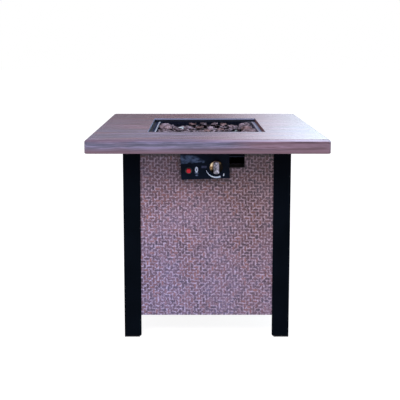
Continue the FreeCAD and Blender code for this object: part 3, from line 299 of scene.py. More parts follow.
def herringbone_tree():
    """Sets the outward face of a sheet back and presses tiles up on it, trimmed to the sheet's outline.
    The face is turned to -Y for the work, and back at the end."""
    tree, given = new_tree("pressed_herringbone", Tile="Float", Joint="Float", Relief="Float",
                           Chamfer="Float", Uneven="Float", Turn="Vector", Turn_Back="Vector",
                           Seed="Int", Material="Material")
    tile, joint, relief, chamfer = (given[name] for name in ("Tile", "Joint", "Relief", "Chamfer"))
    turned = add(tree, "GeometryNodeTransform", {
        "Geometry": given["Geometry"], "Rotation": given["Turn"]})
    _, least, most = add(tree, "GeometryNodeBoundBox", [turned]).outputs
    _, face_y, _ = add(tree, "SeparateXYZ", [least]).outputs
    size = add(tree, "VectorMath", [most, least], "SUBTRACT")
    wide, _, high = add(tree, "SeparateXYZ", [size]).outputs
    doubled = add(tree, "VectorMath", [most, least], "ADD")
    middle = add(tree, "VectorMath", [doubled, 0.5], "SCALE")
    middle_x, _, middle_z = add(tree, "SeparateXYZ", [middle]).outputs

    # an odd number of points each way, one in the middle of each tile-wide cell
    counts, reaches = [], []
    for length in (wide, high):
        across = add(tree, "Math", [length, tile], "DIVIDE")
        half = add(tree, "Math", [across, 0.5], "MULTIPLY")
        whole = add(tree, "Math", [half], "CEIL")
        counts.append(add(tree, "Math", [whole, 2.0, 3.0], "MULTIPLY_ADD"))
        gaps = add(tree, "Math", [counts[-1], 1.0], "SUBTRACT")
        reaches.append(add(tree, "Math", [gaps, tile], "MULTIPLY"))
    cells = add(tree, "GeometryNodeMeshGrid", reaches + counts)

    # going right and down, two cells of a lying tile are followed by two of standing ones
    x, y, _ = add(tree, "SeparateXYZ", [add(tree, "GeometryNodeInputPosition")]).outputs
    diagonal = add(tree, "Math", [x, y], "SUBTRACT")
    steps = add(tree, "Math", [diagonal, tile], "DIVIDE")
    counted = add(tree, "Math", [steps], "ROUND")
    phase = add(tree, "Math", [counted, 4.0], "FLOORED_MODULO")
    off_centre = add(tree, "Math", [phase, 1.5], "SUBTRACT")
    away = add(tree, "Math", [off_centre], "ABSOLUTE")
    starts_none = add(tree, "Math", [away, 1.0], "LESS_THAN")
    starts = add(tree, "GeometryNodeDeleteGeometry", [cells, starts_none])
    standing = add(tree, "Math", [phase, 2.0], "GREATER_THAN")
    lying = add(tree, "Math", [1.0, standing], "SUBTRACT")
    half_tile = add(tree, "Math", [tile, 0.5], "MULTIPLY")
    along = add(tree, "Math", [lying, half_tile], "MULTIPLY")
    up = add(tree, "Math", [standing, half_tile], "MULTIPLY")
    kept_turn = add(tree, "GeometryNodeStoreNamedAttribute", {
        "Geometry": starts, "Name": "standing", "Value": standing})
    drop = add(tree, "FunctionNodeRandomValue", {
        "Min": 0.0, "Max": given["Uneven"], "Seed": given["Seed"]})
    sunk = add(tree, "Math", [drop, -1.0], "MULTIPLY")
    shift = add(tree, "CombineXYZ", [along, up, sunk])
    centres = add(tree, "GeometryNodeSetPosition", {"Geometry": kept_turn, "Offset": shift})

    # one tile: a box that reaches down into the sheet, with its top drawn in
    width = add(tree, "Math", [tile, joint], "SUBTRACT")
    less_joint = add(tree, "Math", [joint, -1.0], "MULTIPLY")
    length = add(tree, "Math", [tile, 2.0, less_joint], "MULTIPLY_ADD")
    brick = add(tree, "GeometryNodeMeshCube", [add(tree, "CombineXYZ", [length, width, relief])])
    _, _, facing_z = add(tree, "SeparateXYZ", [add(tree, "GeometryNodeInputNormal")]).outputs
    is_top = add(tree, "Math", [facing_z, 0.5], "GREATER_THAN")
    raised = add(tree, "GeometryNodeExtrudeMesh", {
        "Mesh": brick, "Selection": is_top, "Offset Scale": chamfer}, mode="FACES")
    drawn_in = add(tree, "GeometryNodeScaleElements", {
        "Geometry": raised, "Selection": raised.outputs["Top"], "Scale": TOP_SHARE}, domain="FACE")
    topped = add(tree, "GeometryNodeStoreNamedAttribute", {
        "Geometry": drawn_in, "Name": "tile_top", "Value": raised.outputs["Top"]}, domain="FACE")
    half_relief = add(tree, "Math", [relief, -0.5], "MULTIPLY")
    top_down = add(tree, "Math", [half_relief, chamfer], "SUBTRACT")
    seated = add(tree, "GeometryNodeTransform", {
        "Geometry": topped, "Translation": add(tree, "CombineXYZ", {"Z": top_down})})

    named_turn = add(tree, "GeometryNodeInputNamedAttribute", {"Name": "standing"})
    turn = add(tree, "Math", [named_turn, QUARTER], "MULTIPLY")
    laid = add(tree, "GeometryNodeInstanceOnPoints", {
        "Points": centres, "Instance": seated, "Rotation": add(tree, "CombineXYZ", {"Z": turn})})
    tone = add(tree, "FunctionNodeRandomValue", {
        "Min": TONES[0], "Max": TONES[1], "Seed": given["Seed"]})
    toned = add(tree, "GeometryNodeStoreNamedAttribute", {
        "Geometry": laid, "Name": "tile_tone", "Value": tone}, domain="INSTANCE")
    tiles = add(tree, "GeometryNodeRealizeInstances", [toned])
    upright = add(tree, "GeometryNodeTransform", {
        "Geometry": tiles, "Rotation": (QUARTER, 0.0, 0.0),
        "Translation": add(tree, "CombineXYZ", [middle_x, face_y, middle_z])})
    trimmed = add(tree, "GeometryNodeMeshBoolean", {"Mesh": upright}, "INTERSECT", solver="MANIFOLD")
    tree.links.new(turned.outputs[0], trimmed.inputs["Mesh"])

    # the joints: the sheet's own face, set back
    _, y_now, _ = add(tree, "SeparateXYZ", [add(tree, "GeometryNodeInputPosition")]).outputs
    inward = add(tree, "Math", [y_now, face_y], "SUBTRACT")
    on_face = add(tree, "Math", [inward, FACE_DEEP * MM], "LESS_THAN")
    set_back = add(tree, "GeometryNodeSetPosition", {
        "Geometry": turned, "Selection": on_face, "Offset": add(tree, "CombineXYZ", {"Y": relief})})
    joined = add(tree, "GeometryNodeJoinGeometry", [set_back])
    tree.links.new(trimmed.outputs[0], joined.inputs[0])
    _, facing_y, _ = add(tree, "SeparateXYZ", [add(tree, "GeometryNodeInputNormal")]).outputs
    is_inside = add(tree, "Math", [facing_y, 0.5], "GREATER_THAN")
    marked = add(tree, "GeometryNodeStoreNamedAttribute", {
        "Geometry": joined, "Name": "inside", "Value": is_inside}, domain="FACE")
    home = add(tree, "GeometryNodeTransform", {"Geometry": marked, "Rotation": given["Turn Back"]})
    flat = add(tree, "GeometryNodeSetShadeSmooth", {"Geometry": home, "Shade Smooth": False})
    painted = add(tree, "GeometryNodeSetMaterial", {"Geometry": flat, "Material": given["Material"]})
    add(tree, "NodeGroupOutput", [painted])
    return tree


antiqued = antiqued_paint()
herringbone = herringbone_tree()
for node, body, quarters in (("front_panel", "table", 0), ("right_panel", "table", -1),
                             ("left_panel", "table", 1), ("access_door", "door", 2)):
    panel = grown("embossed_" + node, welded(node), herringbone, Tile=TILE * MM, Joint=JOINT * MM,
                  Relief=RELIEF * MM, Chamfer=CHAMFER * MM, Uneven=UNEVEN * MM,
                  Turn=(0.0, 0.0, quarters * QUARTER), Turn_Back=(0.0, 0.0, -quarters * QUARTER),
                  Seed=TILE_SEED + quarters, Material=antiqued)
    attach(panel, body)
    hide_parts(node)


# ---- Nuts, screws, hinge pins and door strike ----
# Cold-formed steel, zinc plated. The bright plating has a faint spangle and a thin passivation
# that turns it warm in one place and bluish in the next.

def zinc_plating():
    material, tree, place = new_material("zinc_plated_steel")
    spangle = add(tree, "TexVoronoi", [place, every(9)])
    tint = shade(add(tree, "ValToRGB", [spangle.outputs["Color"]]),
                 (0.2, "#b4b6bd"), (0.55, "#c8c5bd"), (0.8, "#bfc6d0"))
    fine = add(tree, "TexNoise", [place, every(3), 4.0])
    rough = add(tree, "MapRange", [fine, 0.0, 1.0, 0.28, 0.5])
    return surfaced(material, {"Base Color": tint, "Metallic": 1.0, "Roughness": rough})


dress(zinc_plating(), "frame_nuts", "panel_screws", "mantel_screws", "shield_screws", "hinge_pin_top",
      "hinge_pin_low", "door_strike", "burner_locknut", "stem_spring_cup", "heat_shield")


# ---- Door magnet ----
# A block of pressed and sintered ferrite behind the door's free edge. It is charcoal grey and matt,
# with the faint chalky mottle of a ground ceramic.

ferrite = plain_finish("sintered_ferrite", [every(2.5), 5.0], [(0.35, "#26272a"), (0.7, "#3a3b3f")],
                       {"Roughness": 0.7, "IOR": 1.9, "Specular IOR Level": 0.3},
                       bump=(0.3, 0.05 * MM))
dress(ferrite, "door_magnet")


# ---- Mantel ----
# A slab cast in glass-fibre cement, stained with brown and slate grey drawn along the grain and
# sealed satin. The seal gives the long sheen that a low light leaves on the top.

MANTEL_LOW, MANTEL_HIGH = (corner.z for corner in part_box("mantel_top"))
MANTEL_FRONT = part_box("mantel_top")[0].y
CUTOUT_HALF = 184.0    # from the middle to the cut-out's sides
LIP = 5.0              # height of its rounded lip
TURNED_UNDER = 24.0    # height up to which the stain has gathered

# the places, in metres, between which the stain changes
BACKWARD = (-0.3, 0.25)
RIGHTWARD = (-0.3, 0.35)
LEFTWARD = (-0.06, 0.32)      # deep brown left of the first


def stained_cement():
    material, tree, place = new_material("stained_cast_cement")
    x, y, z = add(tree, "SeparateXYZ", [place]).outputs
    facing_x, _, facing_z = add(tree, "SeparateXYZ", [add(tree, "TexCoord").outputs["Normal"]]).outputs
    turned_away = add(tree, "Math", [facing_x], "ABSOLUTE")
    is_end = add(tree, "Math", [turned_away, 0.7], "GREATER_THAN")

    # the stain runs along X, and along Y on the two end faces
    across = add(tree, "Mapping", {"Vector": place, "Rotation": (0.0, 0.0, QUARTER)})
    grain_way = add(tree, "Mix", [is_end, place, across], data_type="VECTOR")
    wander = add(tree, "TexNoise", [grain_way, every(160), 2.0])
    bent = add(tree, "VectorMath", [wander.outputs["Color"], (0.0, 0.012, 0.012), grain_way],
               "MULTIPLY_ADD")
    drawn = add(tree, "Mapping", {"Vector": bent, "Scale": (0.045, 1.0, 1.0)})
    long_drawn = add(tree, "Mapping", {"Vector": bent, "Scale": (0.14, 1.0, 1.0)})
    streak = add(tree, "TexNoise", [drawn, every(8), 6.0, 0.66])
    band = add(tree, "TexNoise", [long_drawn, every(55), 3.0, 0.5])
    brown = shade(add(tree, "ValToRGB", [streak]),
                  (0.34, "#4a3844"), (0.46, "#685260"), (0.58, "#836b7e"), (0.7, "#a494b2"))
    slate = shade(add(tree, "ValToRGB", [streak]),
                  (0.34, "#3c4056"), (0.5, "#5d607a"), (0.68, "#8c8ab0"))
    backward = add(tree, "MapRange", [y, *BACKWARD, 0.0, 1.0], interpolation_type="SMOOTHSTEP")
    rightward = add(tree, "MapRange", [x, *RIGHTWARD, 0.0, 1.0])
    less_right = add(tree, "Math", [rightward, -0.15, band], "MULTIPLY_ADD")
    leaning = add(tree, "Math", [backward, -0.14, less_right], "MULTIPLY_ADD")
    slated = add(tree, "MapRange", [leaning, 0.33, 0.5, 0.0, 0.9])
    mottled = add(tree, "Mix", [slated, brown, slate], data_type="RGBA")

    # it soaked in deeper and browner at the back left
    leftward = add(tree, "MapRange", [x, *LEFTWARD, 1.0, 0.0])
    soaked = add(tree, "Math", [backward, leftward], "MULTIPLY")
    deeper = add(tree, "Mix", [soaked, (1.0, 1.0, 1.0), (0.66, 0.41, 0.41)], data_type="VECTOR")
    colour = add(tree, "VectorMath", [mottled, deeper], "MULTIPLY")

    # broad streaks, which a low view leaves on the top when it closes the narrow ones
    broad = add(tree, "TexNoise", [long_drawn, every(26), 3.0, 0.55])
    fuller = add(tree, "MapRange", [broad, 0.36, 0.64, 0.72, 1.26])
    top_only = add(tree, "Math", [facing_z, 0.7], "GREATER_THAN")
    share = add(tree, "Mix", [top_only, 1.0, fuller])
    colour = add(tree, "VectorMath", [colour, share], "SCALE")

    # the stain gathers brown where the two faces' rims turn under
    low_rim = add(tree, "MapRange", [z, MANTEL_LOW, MANTEL_LOW + TURNED_UNDER * MM, 0.85, 0.0],
                  interpolation_type="SMOOTHSTEP")
    reddened = add(tree, "Mix", [low_rim, colour, hexed("#725562")], data_type="RGBA")

    # along the front's upper edge, painted shade at the left gives way to a painted sheen at the right
    upper = add(tree, "MapRange", [z, MANTEL_HIGH - 6 * MM, MANTEL_HIGH - 4 * MM, 0.0, 1.0])
    foremost = add(tree, "MapRange", [y, MANTEL_FRONT + 4 * MM, MANTEL_FRONT + 7 * MM, 1.0, 0.0])
    edge_mask = add(tree, "Math", [upper, foremost], "MULTIPLY")
    edge_share = add(tree, "Math", [edge_mask, 0.75], "MULTIPLY")
    worn = shade(add(tree, "ValToRGB", [rightward]),
                 (0.0, "#5a4a58"), (0.45, "#7c7088"), (0.95, "#d4daf6"))
    edged = add(tree, "Mix", [edge_share, reddened, worn], data_type="RGBA")

    # inside the cut-out the left, back and front walls have a painted highlight on their rounded lip
    # and painted shade below it; the right wall is brown
    spread = add(tree, "VectorMath", [place], "ABSOLUTE")
    out_x, out_y, _ = add(tree, "SeparateXYZ", [spread]).outputs
    furthest = add(tree, "Math", [out_x, out_y], "MAXIMUM")
    is_inner = add(tree, "Math", [furthest, (CUTOUT_HALF + 0.3) * MM], "LESS_THAN")
    below_lip = add(tree, "MapRange", [z, MANTEL_HIGH - LIP * MM, MANTEL_HIGH - (LIP - 1) * MM, 1.0,
                                       0.0])
    lip_highlight_and_wall_shade = add(tree, "Mix", [below_lip, hexed("#8a94b8"), hexed("#141a26")], data_type="RGBA")
    is_right = add(tree, "Math", [facing_x, -0.5], "LESS_THAN")
    edge = add(tree, "Mix", [is_right, lip_highlight_and_wall_shade, hexed("#6c4a48")], data_type="RGBA")
    lined = add(tree, "Mix", [is_inner, edged, edge], data_type="RGBA")
    pore = add(tree, "TexNoise", [place, every(1.6), 3.0])
    relief = add(tree, "Math", [streak, 0.5, pore], "MULTIPLY_ADD")
    bump = add(tree, "Bump", {"Height": relief, "Strength": 0.15, "Distance": 0.2 * MM})
    rough = add(tree, "MapRange", [streak, 0.0, 1.0, 0.06, 0.34])
    unsealed = add(tree, "Mix", [is_inner, rough, 0.7])
    return surfaced(material, {"Base Color": lined, "Roughness": unsealed, "IOR": 1.5, "Normal": bump})


dress(stained_cement(), "mantel_top")


# ---- Burner pan and fittings ----
# A deep-drawn stainless pan with a flat flange, the bracket and probe beside the flame and the air
# mixer below. The brushed metal has hairlines along X, drawn coarser here so that they show, and
# heat has given it straw and blue tints.

PAN_INNER = 168.0      # from its middle to the bend between flange and wall
SHEEN_REACH = (0.13, 0.17)   # a painted sheen lightens it between here and the right wall, in metres
pan_low, pan_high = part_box("burner_pan")
PAN_MIDDLE = ((pan_low.x + pan_high.x) / 2, (pan_low.y + pan_high.y) / 2, 0.0)


def brushed_stainless():
    material, tree, place = new_material("brushed_stainless_steel")
    drawn = add(tree, "Mapping", {"Vector": place, "Scale": (0.04, 1.0, 1.0)})
    hairline = add(tree, "TexNoise", [drawn, every(0.5), 3.0])
    heat = add(tree, "TexNoise", [place, every(45), 3.0])
    colour = shade(add(tree, "ValToRGB", [heat]),
                   (0.35, "#9a9ea8"), (0.55, "#8e8a86"), (0.7, "#7f8696"))
    rough = add(tree, "MapRange", [hairline, 0.0, 1.0, 0.16, 0.34])
    bump = add(tree, "Bump", {"Height": hairline, "Strength": 0.25, "Distance": 0.03 * MM})
    return surfaced(material, {
        "Base Color": colour, "Metallic": 1.0, "Roughness": rough, "Normal": bump})


# The burner pan's colour is painted light: painted shade over most of it, a painted sheen towards the
# right wall and a painted highlight on the side hems.
def stainless_with_painted_light():
    material, tree, place = new_material("flame_darkened_stainless_steel")
    centred = add(tree, "VectorMath", [place, PAN_MIDDLE], "SUBTRACT")
    x, _, _ = add(tree, "SeparateXYZ", [centred]).outputs
    _, _, z = add(tree, "SeparateXYZ", [place]).outputs
    spread = add(tree, "VectorMath", [centred], "ABSOLUTE")
    out_x, out_y, _ = add(tree, "SeparateXYZ", [spread]).outputs
    furthest = add(tree, "Math", [out_x, out_y], "MAXIMUM")
    from_bend = add(tree, "Math", [furthest, PAN_INNER * MM], "SUBTRACT")
    off_bend = add(tree, "Math", [from_bend], "ABSOLUTE")
    fine = add(tree, "TexNoise", [place, every(7), 4.0])
    # a near-white painted highlight along the hems at the rims of the left and right sides
    rubbed = add(tree, "MapRange", [off_bend, 2.5 * MM, 4.0 * MM, 1.0, 0.0])
    is_rim = add(tree, "Math", [z, pan_high.z - 3 * MM], "GREATER_THAN")
    is_side = add(tree, "Math", [out_x, out_y], "GREATER_THAN")
    side_rim = add(tree, "Math", [is_side, is_rim], "MULTIPLY")
    bare = add(tree, "Math", [rubbed, side_rim], "MULTIPLY")
    # painted shade over most of the pan, and a painted sheen towards the right wall
    burnt = shade(add(tree, "ValToRGB", [fine]), (0.3, "#27313e"), (0.7, "#45516c"))
    painted_sheen = shade(add(tree, "ValToRGB", [fine]), (0.3, "#b4c0d2"), (0.7, "#e0e8f4"))
    far_side = add(tree, "MapRange", [x, *SHEEN_REACH, 0.0, 1.0])
    shade_and_sheen = add(tree, "Mix", [far_side, burnt, painted_sheen], data_type="RGBA")
    colour = add(tree, "Mix", [bare, shade_and_sheen, hexed("#eef4fc")], data_type="RGBA")
    scale = add(tree, "MapRange", [fine, 0.0, 1.0, 0.3, 0.44])
    rough = add(tree, "Mix", [bare, scale, 0.75])
    return surfaced(material, {"Base Color": colour, "Metallic": 1.0, "Roughness": rough,
                               "Specular Tint": hexed("#a4b0c4")})


stainless = brushed_stainless()
dress(stainless_with_painted_light(), "burner_pan")
dress(stainless, "pilot_bracket", "thermocouple", "air_mixer")


# ---- Ring burner ----
# Bent and welded stainless tube with drilled gas ports round its upper outer side. The flame has
# blackened it under the stones, a black that also stands as painted shade between them, and it is
# bright where none lie on it.

TUBE_R = 9.5
PORTS = 60
PORT_R = 1.5
PORT_DEPTH = 3.0
PORT_SIDES = 10
BARE_WAY = (-0.94, 0.34, 0.0)      # from the middle towards the bare stretch of the ring
BARE_FROM = (0.088, 0.104)         # how far that way it begins, in metres
BARE_RAGGED = 30.0                 # how far its ragged end wanders


def sooted_and_shaded_stainless():
    material, tree, place = new_material("flame_blackened_stainless_steel")
    towards = add(tree, "VectorMath", [place, BARE_WAY], "DOT_PRODUCT")
    patch = add(tree, "TexNoise", [place, every(16), 4.0])
    reach = add(tree, "Math", [patch, BARE_RAGGED * MM, towards], "MULTIPLY_ADD")
    bared = add(tree, "MapRange", [reach, *BARE_FROM])
    # black with soot, which is also painted shade between the stones, and bare steel where it is bright
    colour = shade(add(tree, "ValToRGB", [bared]), (0.0, "#1d1b20"), (0.4, "#5a4a44"), (0.8, "#cfd0d4"))
    rough = add(tree, "MapRange", [patch, 0.0, 1.0, 0.25, 0.5])
    return surfaced(material, {"Base Color": colour, "Metallic": 1.0, "Roughness": rough})


def drilled_tree():
    """Drills ports into a ring of tube, all round its outer side, half way between level and up."""
    tree, given = new_tree("drilled_ring", Ring_Radius="Float", Tube_Radius="Float", Height="Float",
                           Ports="Int", Port_Radius="Float", Port_Depth="Float", Material="Material")
    slope = math.sqrt(0.5)
    out_by = add(tree, "Math", [given["Tube Radius"], slope, given["Ring Radius"]], "MULTIPLY_ADD")
    up_by = add(tree, "Math", [given["Tube Radius"], slope, given["Height"]], "MULTIPLY_ADD")
    circle = add(tree, "GeometryNodeMeshCircle", {"Vertices": given["Ports"], "Radius": out_by})
    level = add(tree, "VectorMath", [add(tree, "GeometryNodeInputPosition")], "NORMALIZE")
    slanted = add(tree, "VectorMath", [level, (0.0, 0.0, 1.0)], "ADD")
    aimed = add(tree, "FunctionNodeAlignRotationToVector", {"Vector": slanted}, axis="Z")
    deep = add(tree, "Math", [given["Port Depth"], 2.0], "MULTIPLY")
    drill = add(tree, "GeometryNodeMeshCylinder", {
        "Vertices": PORT_SIDES, "Radius": given["Port Radius"], "Depth": deep})
    drills = add(tree, "GeometryNodeInstanceOnPoints", {
        "Points": circle, "Instance": drill, "Rotation": aimed})
    lifted = add(tree, "GeometryNodeTransform", {
        "Geometry": drills, "Translation": add(tree, "CombineXYZ", {"Z": up_by})})
    solid = add(tree, "GeometryNodeRealizeInstances", [lifted])
    drilled = add(tree, "GeometryNodeMeshBoolean", {"Mesh 1": given["Geometry"], "Mesh 2": solid},
                  "DIFFERENCE", solver="MANIFOLD")
    smooth = add(tree, "GeometryNodeSetShadeSmooth", [drilled])
    dressed = add(tree, "GeometryNodeSetMaterial", {"Geometry": smooth, "Material": given["Material"]})
    add(tree, "NodeGroupOutput", [dressed])
    return tree


ring_low, ring_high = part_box("ring_burner")
ring = grown("drilled_ring_burner", welded("ring_burner"), drilled_tree(),
             Ring_Radius=(ring_high.y - ring_low.y) / 2 - TUBE_R * MM, Tube_Radius=TUBE_R * MM,
             Height=ring_high.z - TUBE_R * MM, Ports=PORTS, Port_Radius=PORT_R * MM,
             Port_Depth=PORT_DEPTH * MM, Material=sooted_and_shaded_stainless())
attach(ring, "table")
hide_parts("ring_burner")


# ---- Gas train ----
# A die-cast valve body and a drawn feed tube of satin grey aluminium, with a stem, jet and flare
# fitting turned from brass, whose fine tool marks are drawn coarser here so that they show.

def turned_brass():
    material, tree, place = new_material("turned_brass")
    tool_mark = add(tree, "TexNoise", [place, every(0.4), 2.0])
    tarnish = add(tree, "TexNoise", [place, every(8), 4.0])
    colour = shade(add(tree, "ValToRGB", [tarnish]), (0.35, "#b08d4b"), (0.7, "#d4b26a"))
    rough = add(tree, "MapRange", [tool_mark, 0.0, 1.0, 0.2, 0.36])
    return surfaced(material, {"Base Color": colour, "Metallic": 1.0, "Roughness": rough})


aluminium = plain_finish("cast_and_drawn_aluminium", [every(1.8), 4.0],
                         [(0.3, "#b5b7bb"), (0.7, "#cdced2")],
                         {"Metallic": 1.0, "Roughness": (0.36, 0.58)}, bump=(0.35, 0.08 * MM))
dress(aluminium, "gas_feed_tube", "gas_valve")
dress(turned_brass(), "gas_orifice", "inlet_fitting", "valve_stem")


# ---- Spark electrode ----
# A glazed white alumina post with a thin steel tip set in its end.

TIP = 8.0    # length of the steel tip
alumina = plain_finish("glazed_alumina", [every(6), 4.0], [(0.3, "#c9c4bb"), (0.55, "#efece6")],
                       {"Roughness": 0.18, "IOR": 1.6})
dress(alumina, "spark_electrode")
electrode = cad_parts["spark_electrode"].data
electrode.materials.append(stainless)
for face in electrode.polygons:
    face.material_index = int(face.center.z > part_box("spark_electrode")[1].z - (TIP + WELD) * MM)


# ---- Lava rock ----
# Broken basalt, full of gas bubbles: lumpy, brown to mauve, with a few stones burnt brick red.
# Each stone is cleft into lobes, worn and pitted inwards from its broken faces.

LOBE = 32.0           # spacing of the lobes that the clefts part
CLEFT_DEPTH = 4.0
ROCK_LUMP = 9.0       # spacing of the worn hollows
ROCK_WEAR = 2.0       # how deep the wear goes
BUBBLE = 5.0          # spacing of the open bubbles
BUBBLE_DEPTH = 1.2
FINENESS = 3          # how often each edge is halved
STONE_SEED = 4


def porous_basalt():
    material, tree, place = new_material("porous_basalt")
    stone = add(tree, "Attribute", attribute_name="stone_tone").outputs["Fac"]
    fire = add(tree, "TexNoise", [place, every(14), 6.0, 0.7])
    dull = shade(add(tree, "ValToRGB", [fire]), (0.3, "#423a44"), (0.5, "#827886"), (0.7, "#cac2dc"))
    red = shade(add(tree, "ValToRGB", [fire]), (0.3, "#4a3a3e"), (0.5, "#806a6c"), (0.7, "#b49ca6"))
    reddish = add(tree, "MapRange", [stone, 0.62, 0.9, 0.0, 0.85])
    colour = add(tree, "Mix", [reddish, dull, red], data_type="RGBA")
    bubbles = add(tree, "TexVoronoi", [place, every(2.4)], feature="SMOOTH_F1")
    grit = add(tree, "TexNoise", [place, every(1.0), 4.0])
    height = add(tree, "Math", [grit, 0.6, bubbles], "MULTIPLY_ADD")
    # the clefts are darkened with painted shade
    cleft = add(tree, "Attribute", attribute_name="cleft").outputs["Fac"]
    shadow = add(tree, "MapRange", [cleft, 0.0, 1.0, 1.0, 0.35])
    pitted = add(tree, "VectorMath", [colour, shadow], "SCALE")
    bump = add(tree, "Bump", {"Height": height, "Strength": 0.8, "Distance": 0.8 * MM})
    return surfaced(material, {
        "Base Color": pitted, "Roughness": 0.92, "Specular IOR Level": 0.3, "Normal": bump})


def pitted_tree():
    """Divides each stone finely, cleaves it into lobes, wears its faces inwards and opens bubbles."""
    tree, given = new_tree("pitted_stones", Lobe="Float", Cleft_Depth="Float", Lump="Float",
                           Wear="Float", Bubble="Float", Bubble_Depth="Float", Seed="Int",
                           Material="Material")
    island = add(tree, "GeometryNodeInputMeshIsland")
    tone = add(tree, "FunctionNodeRandomValue", {
        "Min": 0.0, "Max": 1.0, "ID": island, "Seed": given["Seed"]})
    toned = add(tree, "GeometryNodeStoreNamedAttribute", {
        "Geometry": given["Geometry"], "Name": "stone_tone", "Value": tone})
    cut = add(tree, "GeometryNodeSubdivideMesh", [toned, FINENESS])

    # each term is a depth below the stone's flat faces
    place = add(tree, "GeometryNodeInputPosition")
    scales = [add(tree, "Math", [1.0, given[label]], "DIVIDE") for label in ("Lobe", "Lump", "Bubble")]
    lobes = add(tree, "TexVoronoi", [place, scales[0]], feature="DISTANCE_TO_EDGE")
    cleft = add(tree, "MapRange", [lobes, 0.0, 0.22, 1.0, 0.0], interpolation_type="SMOOTHSTEP")
    cleft_depth = add(tree, "Math", [cleft, given["Cleft Depth"]], "MULTIPLY")
    lump = add(tree, "TexNoise", [place, scales[1], 3.0, 0.6])
    wear = add(tree, "Math", [lump, given["Wear"], cleft_depth], "MULTIPLY_ADD")
    bubble = add(tree, "TexVoronoi", [place, scales[2]])
    open_share = add(tree, "MapRange", [bubble, 0.2, 0.5, 1.0, 0.0])
    depth = add(tree, "Math", [open_share, given["Bubble Depth"], wear], "MULTIPLY_ADD")
    inwards = add(tree, "Math", [depth, -1.0], "MULTIPLY")
    offset = add(tree, "VectorMath", [add(tree, "GeometryNodeInputNormal"), inwards], "SCALE")
    hollowed = add(tree, "GeometryNodeStoreNamedAttribute", {
        "Geometry": cut, "Name": "cleft", "Value": cleft})
    moved = add(tree, "GeometryNodeSetPosition", {"Geometry": hollowed, "Offset": offset})
    smooth = add(tree, "GeometryNodeSetShadeSmooth", [moved])
    dressed = add(tree, "GeometryNodeSetMaterial", {"Geometry": smooth, "Material": given["Material"]})
    add(tree, "NodeGroupOutput", [dressed])
    return tree


stones = grown("pitted_lava_rocks", welded("lava_rocks"), pitted_tree(), Lobe=LOBE * MM,
               Cleft_Depth=CLEFT_DEPTH * MM, Lump=ROCK_LUMP * MM, Wear=ROCK_WEAR * MM,
               Bubble=BUBBLE * MM, Bubble_Depth=BUBBLE_DEPTH * MM, Seed=STONE_SEED,
               Material=porous_basalt())
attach(stones, "table")
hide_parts("lava_rocks")


# ---- Control box ----
# A folded steel tray in gloss black enamel that hangs under the mantel's front edge, with a dull blue
# painted reflection on its upper left, ragged along its lower edge. Its marks are screen printed in
# white and dull blue ink.

REFLECTION_LOW = 0.5645           # height in metres of the painted reflection's lower edge, with its ragged part
REFLECTION_END = 0.5528           # and of its slanting upper edge, both at the table's middle
REFLECTION_TOP = (0.572, 0.577)   # it fades up these heights
MARK_POINTS = 28
BOX_FACE = -267.0           # where the box's front lies
INK = 0.15                  # how thick the ink lies


def gloss_black():
    material, tree, place = new_material("gloss_black_paint")
    peel = add(tree, "TexNoise", [place, every(3), 2.0])
    film = add(tree, "TexNoise", [place, every(28), 5.0])
    paint = shade(add(tree, "ValToRGB", [film]), (0.35, "#08111e"), (0.75, "#0d1a2b"))

    # the painted reflection ends at a ragged edge that rises to the right
    wiped = add(tree, "Mapping", {"Vector": place, "Scale": (0.45, 1.0, 1.0)})
    ragged = add(tree, "TexNoise", [wiped, every(7), 3.0])
    x, _, z = add(tree, "SeparateXYZ", [place]).outputs
    rise = add(tree, "Math", [x, -0.1, z], "MULTIPLY_ADD")
    edge = add(tree, "Math", [ragged, 0.02, rise], "MULTIPLY_ADD")
    above = add(tree, "MapRange", [edge, REFLECTION_LOW, REFLECTION_LOW + 3 * MM, 0.0, 1.0])
    slant = add(tree, "Math", [x, 0.58, z], "MULTIPLY_ADD")
    below = add(tree, "MapRange", [slant, REFLECTION_END - 5 * MM, REFLECTION_END + 3 * MM, 1.0, 0.0])
    under_top = add(tree, "MapRange", [z, *REFLECTION_TOP, 1.0, 0.0])
    before = add(tree, "Math", [below, under_top], "MULTIPLY")
    patchy = add(tree, "MapRange", [ragged, 0.34, 0.62, 0.15, 1.0])
    painted_reflection = add(tree, "Math", [above, before], "MULTIPLY")
    patchy_reflection = add(tree, "Math", [painted_reflection, patchy], "MULTIPLY")
    colour = add(tree, "Mix", [patchy_reflection, paint, hexed("#5c7290")], data_type="RGBA")
    rough = add(tree, "MapRange", [film, 0.0, 1.0, 0.14, 0.3])
    bump = add(tree, "Bump", {"Height": peel, "Strength": 0.12, "Distance": 0.05 * MM})
    return surfaced(material, {"Base Color": colour, "Roughness": rough, "Specular IOR Level": 0.03,
                               "Normal": bump})


def oval(x, z, half_wide, half_high, pull=0.0):
    """Points round an oval, whose upper part may be pulled in to a flame's tip."""
    points = []
    for i in range(MARK_POINTS):
        angle = math.tau * i / MARK_POINTS
        squeeze = 1.0 - pull * max(0.0, math.sin(angle))
        points.append((x + half_wide * math.cos(angle) * squeeze, z + half_high * math.sin(angle)))
    return points


def bar(x, z, wide, high, lean=0.0):
    """The corners of an upright bar, whose top may lean to the right."""
    half_wide, half_high = wide / 2, high / 2
    return [(x - half_wide - lean, z - half_high), (x + half_wide - lean, z - half_high),
            (x + half_wide + lean, z + half_high), (x - half_wide + lean, z + half_high)]


def wedge(centre, radius, start, end, thin, thick):
    """The inner and outer edge of an arc that widens from its start to its end. Angles in degrees."""
    inner, outer = [], []
    for i in range(MARK_POINTS):
        share = i / (MARK_POINTS - 1)
        angle = math.radians(start + (end - start) * share)
        half = (thin + (thick - thin) * share) / 2
        for edge, reach in ((inner, radius - half), (outer, radius + half)):
            edge.append((centre[0] + reach * math.cos(angle), centre[1] + reach * math.sin(angle)))
    return inner, outer


